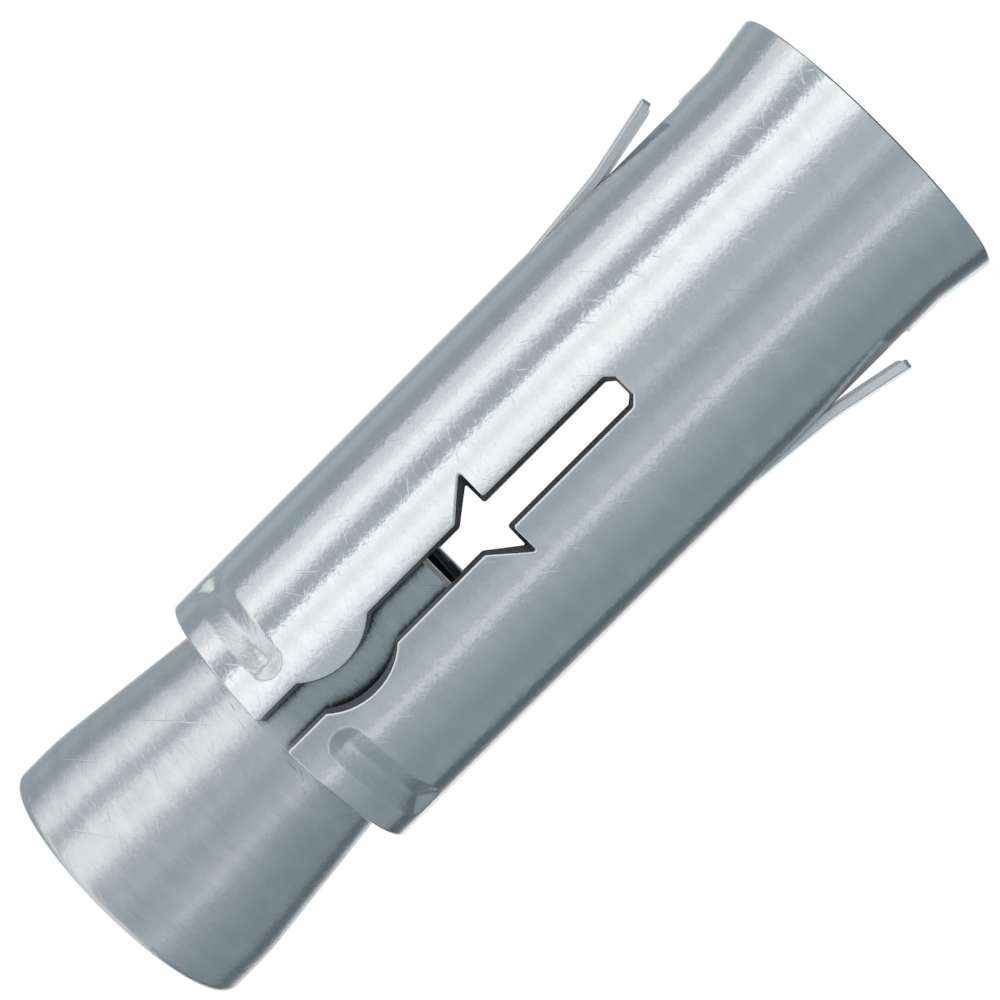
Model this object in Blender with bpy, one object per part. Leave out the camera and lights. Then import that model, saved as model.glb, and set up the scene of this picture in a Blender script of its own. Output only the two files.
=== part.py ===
"""Hollow wall anchor: a slotted steel expansion sleeve and the threaded cone nut that spreads it.

The anchor stands on the sleeve's flared rim, the way it goes up into a ceiling. The rim's end face
is at z = 0, centred on the origin, and the cone nut is at the top. One long slot faces -Y and the
other +Y, so that the two legs of the sleeve are at +X and -X. Sizes are in metres, +Z is up.
"""

import math

import bmesh
import bpy
from mathutils import Vector

MM = 0.001

# Thread: the M10 core that sets the nut's neck, and with it the sleeve's bore and outside.
THREAD_CORE_RADIUS = 4.19 * MM
THREAD_LEAD = 0.91 * MM
NECK_WALL = 1.91 * MM

# Sleeve tube: a pressed steel tube with a flared rim at its foot and an open mouth at its top.
SLEEVE_LENGTH = 39.95 * MM
SLEEVE_WALL = 1.25 * MM
RIM_FLARE = 0.41 * MM
RIM_FLARE_LENGTH = 2.95 * MM
RIM_BLEND_RADIUS = 5.0 * MM

# Long slots, cut through the wall from the mouth. Distances from the mouth run down the sleeve.
SLOT_WIDTH = 1.95 * MM
SLOT_LENGTH = 23.2 * MM
SLOT_END_CHAMFER = 0.42 * MM
BARB_REACH = 1.66 * MM
BARB_LENGTH = 1.8 * MM
FRONT_BARB_FROM_MOUTH = 14.9 * MM
BACK_BARB_FROM_MOUTH = 14.0 * MM
LOBE_FROM_MOUTH = 2.6 * MM
LOBE_CHORD = 4.7 * MM
LOBE_RISE = 0.95 * MM

# Grooves pressed into the legs near the mouth, which stand out as ridges inside.
GROOVE_FROM_MOUTH = 2.2 * MM
GROOVE_WIDTH = 1.86 * MM
GROOVE_DEPTH = 0.45 * MM
RIDGE_HEIGHT = 0.3 * MM
GROOVE_FIRST_ANGLE = math.radians(14.0)
GROOVE_LAST_ANGLE = math.radians(75.0)

# Tongues skived up from the outside of the wall, one on each leg, which grip the drilled hole.
TONGUE_ROOT_HEIGHT = 15.43 * MM
TONGUE_LENGTH = 9.14 * MM
TONGUE_LIFT = 1.40 * MM
TONGUE_ELBOW_DROP = 4.67 * MM
TONGUE_ELBOW_LIFT = 0.45 * MM
TONGUE_ELBOW_RADIUS = 8.0 * MM
TONGUE_THICKNESS = 0.4 * MM
TONGUE_WIDTH = 3.6 * MM
TONGUE_SINK = 0.03 * MM
POCKET_LENGTH = 10.35 * MM
POCKET_SIDE_GAP = 0.14 * MM
POCKET_FLOOR_GAP = 0.05 * MM

# Cone nut: its neck is held in the sleeve's mouth and its wide end stands above it.
RIDGE_CLEARANCE = 0.3 * MM
CONE_IN_SLEEVE = 10.85 * MM
NECK_LENGTH = 8.55 * MM
NECK_EDGE_CHAMFER = 0.22 * MM
TAPER_ANGLE = math.radians(6.76)
TAPER_BLEND_RADIUS = 14.0 * MM
WIDE_BAND_LENGTH = 2.77 * MM
WIDE_BAND_SETBACK = 0.53 * MM
WIDE_EDGE_RADIUS = 0.5 * MM

# Facets of the turned forms and their rounded parts.
TURN_SEGMENTS = 96
TONGUE_COLUMNS = 8
LOBE_STEPS = 12
BLEND_STEPS = 3
EDGE_STEPS = 4

# How far a cutting tool reaches past the surface that it cuts.
CUT_MARGIN = 1.5 * MM

# Edges that bend by more than this are shaded sharp.
SHARP_EDGE_ANGLE = math.radians(25.0)

# The zinc finish of each piece: colour and roughness.
SLEEVE_ZINC = ((0.63, 0.66, 0.69), 0.34)
CONE_ZINC = ((0.60, 0.63, 0.66), 0.38)

# Sizes that follow from the ones above.
NECK_RADIUS = THREAD_CORE_RADIUS + NECK_WALL
SLEEVE_BORE_RADIUS = NECK_RADIUS + RIDGE_CLEARANCE + RIDGE_HEIGHT
SLEEVE_OUTER_RADIUS = SLEEVE_BORE_RADIUS + SLEEVE_WALL
WIDE_BAND_RADIUS = SLEEVE_OUTER_RADIUS - WIDE_BAND_SETBACK
TAPER_LENGTH = (WIDE_BAND_RADIUS - NECK_RADIUS) / math.tan(TAPER_ANGLE)
CONE_LENGTH = NECK_LENGTH + TAPER_LENGTH + WIDE_BAND_LENGTH
CONE_FOOT_HEIGHT = SLEEVE_LENGTH - CONE_IN_SLEEVE
GROOVE_HEIGHT = SLEEVE_LENGTH - GROOVE_FROM_MOUTH

# Bearings around the sleeve, from the front slot at -Y towards +X.
FRONT_SLOT = 0.0
RIGHT_LEG = math.pi / 2
BACK_SLOT = math.pi
LEFT_LEG = 3 * math.pi / 2


def clear_scene():
    """Removes what the open file holds."""
    for obj in list(bpy.data.objects):
        bpy.data.objects.remove(obj, do_unlink=True)


def zinc_plated_steel(name, colour, roughness):
    """A bare metal finish of the given tint."""
    material = bpy.data.materials.new(name)
    material.use_nodes = True
    shader = material.node_tree.nodes["Principled BSDF"]
    shader.inputs["Base Color"].default_value = (*colour, 1.0)
    shader.inputs["Metallic"].default_value = 1.0
    shader.inputs["Roughness"].default_value = roughness
    material.diffuse_color = (*colour, 1.0)
    return material


def polar(radius, bearing, height):
    """The point at a radius from the axis, at a bearing from the front, at a height."""
    return Vector((radius * math.sin(bearing), -radius * math.cos(bearing), height))


def rounded(before, corner, after, radius, steps):
    """Points of an arc that rounds a profile's corner, kept within half of each side of it."""
    corner = Vector(corner)
    to_before = Vector(before) - corner
    to_after = Vector(after) - corner
    half_angle = to_before.angle(to_after) / 2
    reach = min(radius / math.tan(half_angle), to_before.length / 2, to_after.length / 2)
    start = corner + to_before.normalized() * reach
    end = corner + to_after.normalized() * reach
    bisector = (to_before.normalized() + to_after.normalized()).normalized()
    centre = corner + bisector * reach / math.cos(half_angle)
    arm_start = start - centre
    sweep = arm_start.angle_signed(end - centre)
    points = []
    for step in range(steps + 1):
        swing = -sweep * step / steps
        across = arm_start.x * math.cos(swing) - arm_start.y * math.sin(swing)
        along = arm_start.x * math.sin(swing) + arm_start.y * math.cos(swing)
        points.append((centre.x + across, centre.y + along))
    return points


def mesh_object(name, build):
    """A new object whose mesh is filled by build(bm), with its faces pointing out."""
    bm = bmesh.new()
    build(bm)
    bmesh.ops.recalc_face_normals(bm, faces=bm.faces)
    mesh = bpy.data.meshes.new(name)
    bm.to_mesh(mesh)
    bm.free()
    obj = bpy.data.objects.new(name, mesh)
    bpy.context.collection.objects.link(obj)
    return obj


def turn(bm, profile, first_bearing, last_bearing, columns):
    """Turns a closed (radius, height) profile about Z, all round or over part of a turn."""
    full_turn = math.isclose(last_bearing - first_bearing, 2 * math.pi)
    spacing = (last_bearing - first_bearing) / columns
    count = columns if full_turn else columns + 1
    loops = []
    for column in range(count):
        bearing = first_bearing + column * spacing
        loops.append([bm.verts.new(polar(radius, bearing, height)) for radius, height in profile])
    for column in range(columns):
        here = loops[column]
        there = loops[(column + 1) % count]
        for k in range(len(profile)):
            following = (k + 1) % len(profile)
            bm.faces.new((here[k], here[following], there[following], there[k]))
    if not full_turn:
        bm.faces.new(loops[0])
        bm.faces.new(loops[-1])


def cut_or_join(target, tool, operation):
    """Adds an exact Boolean of the tool to the target and hides the tool."""
    modifier = target.modifiers.new(tool.name, "BOOLEAN")
    modifier.operation = operation
    modifier.solver = "EXACT"
    modifier.object = tool
    tool.hide_render = True
    tool.display_type = "WIRE"


def settle(obj, tools, material):
    """Applies the object's modifiers, drops the tools and shades its round faces smooth."""
    depsgraph = bpy.context.evaluated_depsgraph_get()
    mesh = bpy.data.meshes.new_from_object(obj.evaluated_get(depsgraph))
    obj.modifiers.clear()
    obj.data = mesh
    for tool in tools:
        bpy.data.objects.remove(tool, do_unlink=True)
    mesh.materials.clear()
    mesh.materials.append(material)
    mesh.shade_smooth()
    mesh.set_sharp_from_angle(angle=SHARP_EDGE_ANGLE)


def groove_share(bearing, height):
    """How far the wall is pressed in at a place: 1 along a groove's root, 0 outside it."""
    from_slot = bearing % math.pi
    from_slot = min(from_slot, math.pi - from_slot)
    half_width = GROOVE_WIDTH / 2
    end_angle = half_width / SLEEVE_OUTER_RADIUS
    nearest = min(max(from_slot, GROOVE_FIRST_ANGLE + end_angle), GROOVE_LAST_ANGLE - end_angle)
    along = SLEEVE_OUTER_RADIUS * (from_slot - nearest)
    return max(0.0, 1.0 - math.hypot(along, height - GROOVE_HEIGHT) / half_width)


def groove_heights():
    """Heights of the wall's rings across a groove, from its lower edge to its upper edge."""
    return [GROOVE_HEIGHT + share * GROOVE_WIDTH / 2 for share in (-1.0, -0.5, 0.0, 0.5, 1.0)]


def tube_profile():
    """The sleeve wall's section: up the outside from the rim, and down the bore."""
    rim = (SLEEVE_OUTER_RADIUS + RIM_FLARE, 0.0)
    waist = (SLEEVE_OUTER_RADIUS, RIM_FLARE_LENGTH)
    mouth = (SLEEVE_OUTER_RADIUS, SLEEVE_LENGTH)
    outside = [rim]
    outside += rounded(rim, waist, mouth, RIM_BLEND_RADIUS, BLEND_STEPS)
    outside += [(SLEEVE_OUTER_RADIUS, height) for height in groove_heights()]
    outside += [mouth]
    inside = [(radius - SLEEVE_WALL, height) for radius, height in reversed(outside)]
    return outside + inside


def press_grooves(bm):
    """Presses the four grooves in from the tube's outside, and their ridges into its bore."""
    middle_radius = SLEEVE_OUTER_RADIUS - SLEEVE_WALL / 2
    for vert in bm.verts:
        radius = math.hypot(vert.co.x, vert.co.y)
        bearing = math.atan2(vert.co.x, -vert.co.y)
        travel = GROOVE_DEPTH if radius > middle_radius else RIDGE_HEIGHT
        pressed = radius - travel * groove_share(bearing, vert.co.z)
        vert.co = polar(pressed, bearing, vert.co.z)


def slot_edge(side, barb_from_mouth):
    """One edge of a slot from above the mouth to its end, as (arc across, height) points.

    The lobe bends both edges the same way, so one leg has a tab where the other has a recess.
    """
    edge = side * SLOT_WIDTH / 2
    lobe_radius = (LOBE_CHORD ** 2 / 4 + LOBE_RISE ** 2) / (2 * LOBE_RISE)
    lobe_half_angle = math.asin(LOBE_CHORD / 2 / lobe_radius)
    lobe_height = SLEEVE_LENGTH - LOBE_FROM_MOUTH - LOBE_CHORD / 2
    barb_height = SLEEVE_LENGTH - barb_from_mouth
    end_height = SLEEVE_LENGTH - SLOT_LENGTH
    points = [(edge, SLEEVE_LENGTH + CUT_MARGIN)]
    for step in range(LOBE_STEPS + 1):
        angle = lobe_half_angle * (1 - 2 * step / LOBE_STEPS)
        bulge = lobe_radius * math.cos(angle) - (lobe_radius - LOBE_RISE)
        points.append((edge - bulge, lobe_height + lobe_radius * math.sin(angle)))
    points.append((edge, barb_height + BARB_LENGTH))
    points.append((edge + side * BARB_REACH, barb_height))
    points.append((edge, barb_height))
    points.append((edge, end_height + SLOT_END_CHAMFER))
    points.append((edge - side * SLOT_END_CHAMFER, end_height))
    return points


def slot_tool(bm, centre, barb_from_mouth):
    """A tool with the slot's outline and radial walls, reaching through the sleeve's wall."""
    outline = slot_edge(1, barb_from_mouth) + slot_edge(-1, barb_from_mouth)[::-1]
    rings = []
    for radius in (SLEEVE_BORE_RADIUS - RIDGE_HEIGHT - CUT_MARGIN, SLEEVE_OUTER_RADIUS + CUT_MARGIN):
        ring = []
        for across, height in outline:
            bearing = centre + across / SLEEVE_OUTER_RADIUS
            ring.append(bm.verts.new(polar(radius, bearing, height)))
        rings.append(ring)
    inner, outer = rings
    for k in range(len(outline)):
        following = (k + 1) % len(outline)
        bm.faces.new((inner[k], inner[following], outer[following], outer[k]))
    bm.faces.new(inner)
    bm.faces.new(outer)


def pocket_tool(bm, centre):
    """A tool that cuts the shallow pocket from which a tongue is raised."""
    floor = SLEEVE_OUTER_RADIUS - TONGUE_SINK - TONGUE_THICKNESS - POCKET_FLOOR_GAP
    above = SLEEVE_OUTER_RADIUS + CUT_MARGIN
    foot = TONGUE_ROOT_HEIGHT - POCKET_LENGTH
    section = [(floor, foot), (above, foot), (above, TONGUE_ROOT_HEIGHT), (floor, TONGUE_ROOT_HEIGHT)]
    half_angle = (TONGUE_WIDTH / 2 + POCKET_SIDE_GAP) / SLEEVE_OUTER_RADIUS
    turn(bm, section, centre - half_angle, centre + half_angle, TONGUE_COLUMNS)


def tongue_section():
    """A tongue's section: down its outer face from the root to the tip, and up its inner face."""
    root = Vector((SLEEVE_OUTER_RADIUS - TONGUE_SINK, TONGUE_ROOT_HEIGHT))
    elbow = root + Vector((TONGUE_ELBOW_LIFT, -TONGUE_ELBOW_DROP))
    tip = root + Vector((TONGUE_LIFT, -TONGUE_LENGTH))
    through_tip = (tip - elbow).orthogonal().normalized() * TONGUE_THICKNESS
    through_elbow = (tip - root).orthogonal().normalized() * TONGUE_THICKNESS
    inner_root = root - Vector((TONGUE_THICKNESS, 0.0))
    inner_elbow = elbow - through_elbow
    inner_tip = tip - through_tip
    inner_radius = TONGUE_ELBOW_RADIUS + TONGUE_THICKNESS
    root_end = TONGUE_ROOT_HEIGHT + TONGUE_THICKNESS
    outside = [(root.x - TONGUE_SINK, root_end), tuple(root)]
    outside += rounded(root, elbow, tip, TONGUE_ELBOW_RADIUS, BLEND_STEPS) + [tuple(tip)]
    inside = [(inner_root.x + TONGUE_SINK, root_end), tuple(inner_root)]
    inside += rounded(inner_root, inner_elbow, inner_tip, inner_radius, BLEND_STEPS) + [tuple(inner_tip)]
    return outside + inside[::-1]


def tongue(bm, centre):
    """A thin tongue that leans out from its root, and further out below its elbow."""
    half_angle = TONGUE_WIDTH / 2 / SLEEVE_OUTER_RADIUS
    turn(bm, tongue_section(), centre - half_angle, centre + half_angle, TONGUE_COLUMNS)


def expansion_sleeve():
    """The sleeve: a turned tube, pressed, slotted, and with its tongues raised."""

    def tube(bm):
        turn(bm, tube_profile(), 0.0, 2 * math.pi, TURN_SEGMENTS)
        press_grooves(bm)

    def slots(bm):
        slot_tool(bm, FRONT_SLOT, FRONT_BARB_FROM_MOUTH)
        slot_tool(bm, BACK_SLOT, BACK_BARB_FROM_MOUTH)

    def pockets(bm):
        for leg in (RIGHT_LEG, LEFT_LEG):
            pocket_tool(bm, leg)

    def tongues(bm):
        for leg in (RIGHT_LEG, LEFT_LEG):
            tongue(bm, leg)

    sleeve = mesh_object("expansion_sleeve", tube)
    slot_cutter = mesh_object("slot_cutter", slots)
    pocket_cutter = mesh_object("pocket_cutter", pockets)
    tongue_pair = mesh_object("tongue_pair", tongues)
    cut_or_join(sleeve, slot_cutter, "DIFFERENCE")
    cut_or_join(sleeve, pocket_cutter, "DIFFERENCE")
    cut_or_join(sleeve, tongue_pair, "UNION")
    finish = zinc_plated_steel("zinc_plated_sleeve", *SLEEVE_ZINC)
    settle(sleeve, (slot_cutter, pocket_cutter, tongue_pair), finish)
    return sleeve


def cone_profile():
    """The cone nut's section from its foot: up the neck and the taper, and down the core."""
    neck_foot = (NECK_RADIUS, NECK_EDGE_CHAMFER)
    neck_top = (NECK_RADIUS, NECK_LENGTH)
    taper_top = (WIDE_BAND_RADIUS, NECK_LENGTH + TAPER_LENGTH)
    wide_corner = (WIDE_BAND_RADIUS, CONE_LENGTH)
    lead_radius = THREAD_CORE_RADIUS + THREAD_LEAD
    lead_mouth = (lead_radius, CONE_LENGTH)
    profile = [(lead_radius, 0.0), (NECK_RADIUS - NECK_EDGE_CHAMFER, 0.0), neck_foot]
    profile += rounded(neck_foot, neck_top, taper_top, TAPER_BLEND_RADIUS, BLEND_STEPS)
    profile += rounded(neck_top, taper_top, wide_corner, TAPER_BLEND_RADIUS, BLEND_STEPS)
    profile += rounded(taper_top, wide_corner, lead_mouth, WIDE_EDGE_RADIUS, EDGE_STEPS)
    profile += [lead_mouth, (THREAD_CORE_RADIUS, CONE_LENGTH - THREAD_LEAD)]
    profile += [(THREAD_CORE_RADIUS, THREAD_LEAD)]
    return profile


def cone_nut(sleeve):
    """The cone nut, a turned piece with its origin on the axis, at its foot."""
    cone = mesh_object("cone_nut", lambda bm: turn(bm, cone_profile(), 0.0, 2 * math.pi, TURN_SEGMENTS))
    cone.parent = sleeve
    cone.location = (0.0, 0.0, CONE_FOOT_HEIGHT)
    settle(cone, (), zinc_plated_steel("zinc_plated_cone", *CONE_ZINC))
    return cone


def main():
    """Builds the anchor."""
    clear_scene()
    sleeve = expansion_sleeve()
    cone_nut(sleeve)


main()
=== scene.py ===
"""Looks of the hollow wall anchor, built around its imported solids.

The anchor stands on its rim at z = 0, with its cone nut at the top. Both solids are replaced by
finer meshes of the same sizes: the sleeve is drawn flat as a pressed sheet and rolled up, and the
cone nut is turned, with its thread cut. Lengths are in metres, and bearings run from the front
slot at -Y towards +X.
"""

import logging
import math
from abc import ABC, abstractmethod
from collections.abc import Sequence
from dataclasses import dataclass, field
from enum import Enum

import bmesh
import bpy
import numpy as np
from mathutils import Matrix, Vector
from mathutils.geometry import delaunay_2d_cdt


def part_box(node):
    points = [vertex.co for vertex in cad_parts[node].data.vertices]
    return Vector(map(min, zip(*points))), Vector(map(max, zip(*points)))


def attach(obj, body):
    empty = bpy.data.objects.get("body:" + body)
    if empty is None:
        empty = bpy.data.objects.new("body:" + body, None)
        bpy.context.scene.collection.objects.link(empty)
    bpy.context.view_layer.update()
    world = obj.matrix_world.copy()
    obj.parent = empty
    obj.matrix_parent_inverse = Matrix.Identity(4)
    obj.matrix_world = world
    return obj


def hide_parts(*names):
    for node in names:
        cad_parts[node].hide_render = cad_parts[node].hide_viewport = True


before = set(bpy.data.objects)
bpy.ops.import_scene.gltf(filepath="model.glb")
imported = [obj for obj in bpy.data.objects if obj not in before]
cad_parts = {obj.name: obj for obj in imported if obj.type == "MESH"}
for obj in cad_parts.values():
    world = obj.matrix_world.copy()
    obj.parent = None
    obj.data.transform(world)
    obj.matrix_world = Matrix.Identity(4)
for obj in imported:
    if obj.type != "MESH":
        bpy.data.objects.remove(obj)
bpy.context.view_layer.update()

MM = 0.001
WRAP_MAP = "Wrap"
NORMAL_STORE = "shape_normal"
LIGHT_STORE = "light"
LOG = logging.getLogger("wall_anchor")

# Points this close together become one.
JOIN_DISTANCE = 1e-4 * MM
# The turn between two points of an arc, and the share of a side that a rounded corner may take.
ARC_STEP = math.radians(13.0)
CORNER_SHARE = 0.45
# Where the lines of points on a rounded edge lie, from the cut wall to the sheet's side.
EDGE_BENDS = tuple(math.radians(angle) for angle in (0.0, 22.5, 45.0, 67.5))
# The triangulation keeps what lies inside the first loop, and joins points within this many mm.
KEEP_INSIDE = 1
MEETING_GAP = 1e-7
# How far the bore's unrolled surface lies from the outside's, in mm, so that no scratch repeats.
BORE_WRAP = 100.0

Colour = tuple[float, float, float]


class Skin(Enum):
    """The two broad sides of a sheet."""

    OUTER = 1
    INNER = -1


class Region(Enum):
    """Parts of a piece that have a finish of their own, numbered as the piece's material slots."""

    SKIN = 0
    CUT = 1
    BORE = 2
    PRESSED = 3
    POCKET = 4


class Leg(Enum):
    """The sleeve's two legs, by the bearing of their middle line."""

    RIGHT = math.pi / 2
    LEFT = -math.pi / 2


@dataclass(frozen=True)
class Corner:
    """One corner of a drawn line.

    Args:
        x: Place across the drawing.
        y: Place along the drawing.
        rounding: Radius of the arc that rounds the corner.
        seam_follows: Whether the stretch after this corner is a seam that gets joined later.
    """

    x: float
    y: float
    rounding: float = 0.0
    seam_follows: bool = False


@dataclass
class Line:
    """A drawn line as close points, with the unit normals on its right-hand side.

    Args:
        points: The points, one row each.
        normals: The normal at each point, zero along a seam.
        seam: Whether the stretch after each point is a seam.
    """

    points: np.ndarray
    normals: np.ndarray
    seam: np.ndarray

    def inset(self, distance: float) -> np.ndarray:
        """The points moved to the left of the line by a distance."""
        return self.points - self.normals * distance

    def stretches(self) -> tuple[np.ndarray, np.ndarray]:
        """The numbers of the two end points of each stretch of a closed line that isn't a seam."""
        start = np.flatnonzero(~self.seam)
        return start, (start + 1) % len(self.points)


def right_of(start: np.ndarray, end: np.ndarray) -> np.ndarray:
    """The unit normal on the right-hand side of a stretch."""
    step = end - start
    return np.array((step[1], -step[0])) / np.hypot(*step)


def corner_arc(
    before: np.ndarray, corner: np.ndarray, after: np.ndarray, radius: float
) -> tuple[list, list]:
    """The arc that rounds a corner.

    Args:
        before: The corner before it.
        corner: The corner itself.
        after: The corner after it.
        radius: The wanted radius, made smaller where the sides are short.

    Returns:
        The arc's points and their normals on the right-hand side.
    """
    back = before - corner
    ahead = after - corner
    back_length = np.hypot(*back)
    ahead_length = np.hypot(*ahead)
    back = back / back_length
    ahead = ahead / ahead_length
    swing = math.pi - math.acos(float(np.clip(back @ ahead, -1.0, 1.0)))
    reach = min(radius * math.tan(swing / 2), CORNER_SHARE * back_length, CORNER_SHARE * ahead_length)
    radius = reach / math.tan(swing / 2)
    turns_left = back[0] * ahead[1] - back[1] * ahead[0] < 0
    side = 1.0 if turns_left else -1.0
    first_normal = right_of(before, corner)
    centre = corner + back * reach - side * first_normal * radius
    steps = max(2, math.ceil(swing / ARC_STEP))
    points = []
    normals = []
    for step in range(steps + 1):
        angle = side * swing * step / steps
        normal = np.array((
            first_normal[0] * math.cos(angle) - first_normal[1] * math.sin(angle),
            first_normal[0] * math.sin(angle) + first_normal[1] * math.cos(angle),
        ))
        points.append(centre + side * normal * radius)
        normals.append(normal)
    return points, normals


def sharp_normal(points: list, seam: list, index: int, closed: bool) -> np.ndarray:
    """The normal at a sharp corner, made as long as moving both its sides by one unit takes.

    Args:
        points: The line's points.
        seam: Whether the stretch after each point is a seam.
        index: The corner's number among the points.
        closed: Whether the line comes back to its first point.

    Returns:
        The normal on the right-hand side.
    """
    total = len(points)
    has_before = closed or index > 0
    has_after = closed or index < total - 1
    sides = []
    if has_before and not seam[index - 1]:
        sides.append(right_of(points[index - 1], points[index]))
    if has_after and not seam[index]:
        sides.append(right_of(points[index], points[(index + 1) % total]))
    mean = sum(sides) / len(sides)
    return mean / (mean @ mean)


def trace(corners: Sequence[Corner], step: float, closed: bool = True) -> Line:
    """Draws a line through corners.

    Args:
        corners: The corners in order, with the sheet on the left-hand side.
        step: The longest distance between points.
        closed: Whether the line comes back to its first corner.

    Returns:
        The line as close points.
    """
    places = [np.array((corner.x, corner.y)) for corner in corners]
    count = len(corners)
    bends: list[tuple[list, list]] = []
    for index, corner in enumerate(corners):
        at_end = not closed and index in (0, count - 1)
        if corner.rounding > 0 and not at_end:
            after = places[(index + 1) % count]
            bends.append(corner_arc(places[index - 1], places[index], after, corner.rounding))
        else:
            bends.append(([places[index]], [None]))
    points: list = []
    normals: list = []
    seam: list = []
    for index, corner in enumerate(corners):
        bend_points, bend_normals = bends[index]
        points += bend_points
        normals += bend_normals
        seam += [False] * (len(bend_points) - 1) + [corner.seam_follows]
        if not closed and index == count - 1:
            break
        start = bend_points[-1]
        end = bends[(index + 1) % count][0][0]
        parts = max(1, math.ceil(np.hypot(*(end - start)) / step - 1e-6))
        side_normal = np.zeros(2) if corner.seam_follows else right_of(start, end)
        for part in range(1, parts):
            points.append(start + (end - start) * part / parts)
            normals.append(side_normal)
            seam.append(corner.seam_follows)
    normals = [
        sharp_normal(points, seam, index, closed) if normal is None else normal
        for index, normal in enumerate(normals)
    ]
    return Line(np.array(points), np.array(normals), np.array(seam))


def inside(points: np.ndarray, loop: np.ndarray) -> np.ndarray:
    """Tells which points lie inside a closed loop.

    Args:
        points: The points, one row each.
        loop: The loop's points in order.

    Returns:
        One truth value for each point.
    """
    found = np.zeros(len(points), bool)
    ends = np.roll(loop, -1, axis=0)
    for (x0, y0), (x1, y1) in zip(loop, ends):
        if y0 == y1:
            continue
        crosses = (points[:, 1] > y0) != (points[:, 1] > y1)
        found ^= crosses & (points[:, 0] < (x1 - x0) * (points[:, 1] - y0) / (y1 - y0) + x0)
    return found


def clearance(points: np.ndarray, loop: np.ndarray) -> np.ndarray:
    """Measures how far points lie from a closed loop.

    Args:
        points: The points, one row each.
        loop: The loop's points in order.

    Returns:
        The distance from each point to the nearest place on the loop.
    """
    best = np.full(len(points), np.inf)
    for start, end in zip(loop, np.roll(loop, -1, axis=0)):
        along = end - start
        share = np.clip(((points - start) @ along) / (along @ along), 0.0, 1.0)
        gap = points - start - share[:, None] * along
        best = np.minimum(best, np.hypot(gap[:, 0], gap[:, 1]))
    return best


def lattice(
    x_range: tuple[float, float], y_range: tuple[float, float], spacing: tuple[float, float]
) -> np.ndarray:
    """Points in rows and columns that fill a rectangle.

    Args:
        x_range: Where the rectangle starts and ends across.
        y_range: Where it starts and ends along.
        spacing: The distance between points across and along.

    Returns:
        The points, one row each.
    """
    columns = max(1, round((x_range[1] - x_range[0]) / spacing[0]))
    rows = max(1, round((y_range[1] - y_range[0]) / spacing[1]))
    x = x_range[0] + (np.arange(columns) + 0.5) * (x_range[1] - x_range[0]) / columns
    y = y_range[0] + (np.arange(rows) + 0.5) * (y_range[1] - y_range[0]) / rows
    grid_x, grid_y = np.meshgrid(x, y)
    return np.column_stack((grid_x.ravel(), grid_y.ravel()))


def unit(vectors: np.ndarray) -> np.ndarray:
    """The vectors made one unit long."""
    return vectors / np.maximum(np.linalg.norm(vectors, axis=1, keepdims=True), 1e-12)


def around_axis(bearing: np.ndarray, radius: np.ndarray, height: np.ndarray) -> np.ndarray:
    """The points at these bearings, distances from the axis and heights."""
    return np.column_stack((radius * np.sin(bearing), -radius * np.cos(bearing), height))


def into_scene(name: str, data: bpy.types.ID) -> bpy.types.Object:
    """Makes an object and links it to the scene.

    Args:
        name: Its name.
        data: Its mesh or camera data.

    Returns:
        The new object.
    """
    made = bpy.data.objects.new(name, data)
    bpy.context.scene.collection.objects.link(made)
    return made


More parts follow.
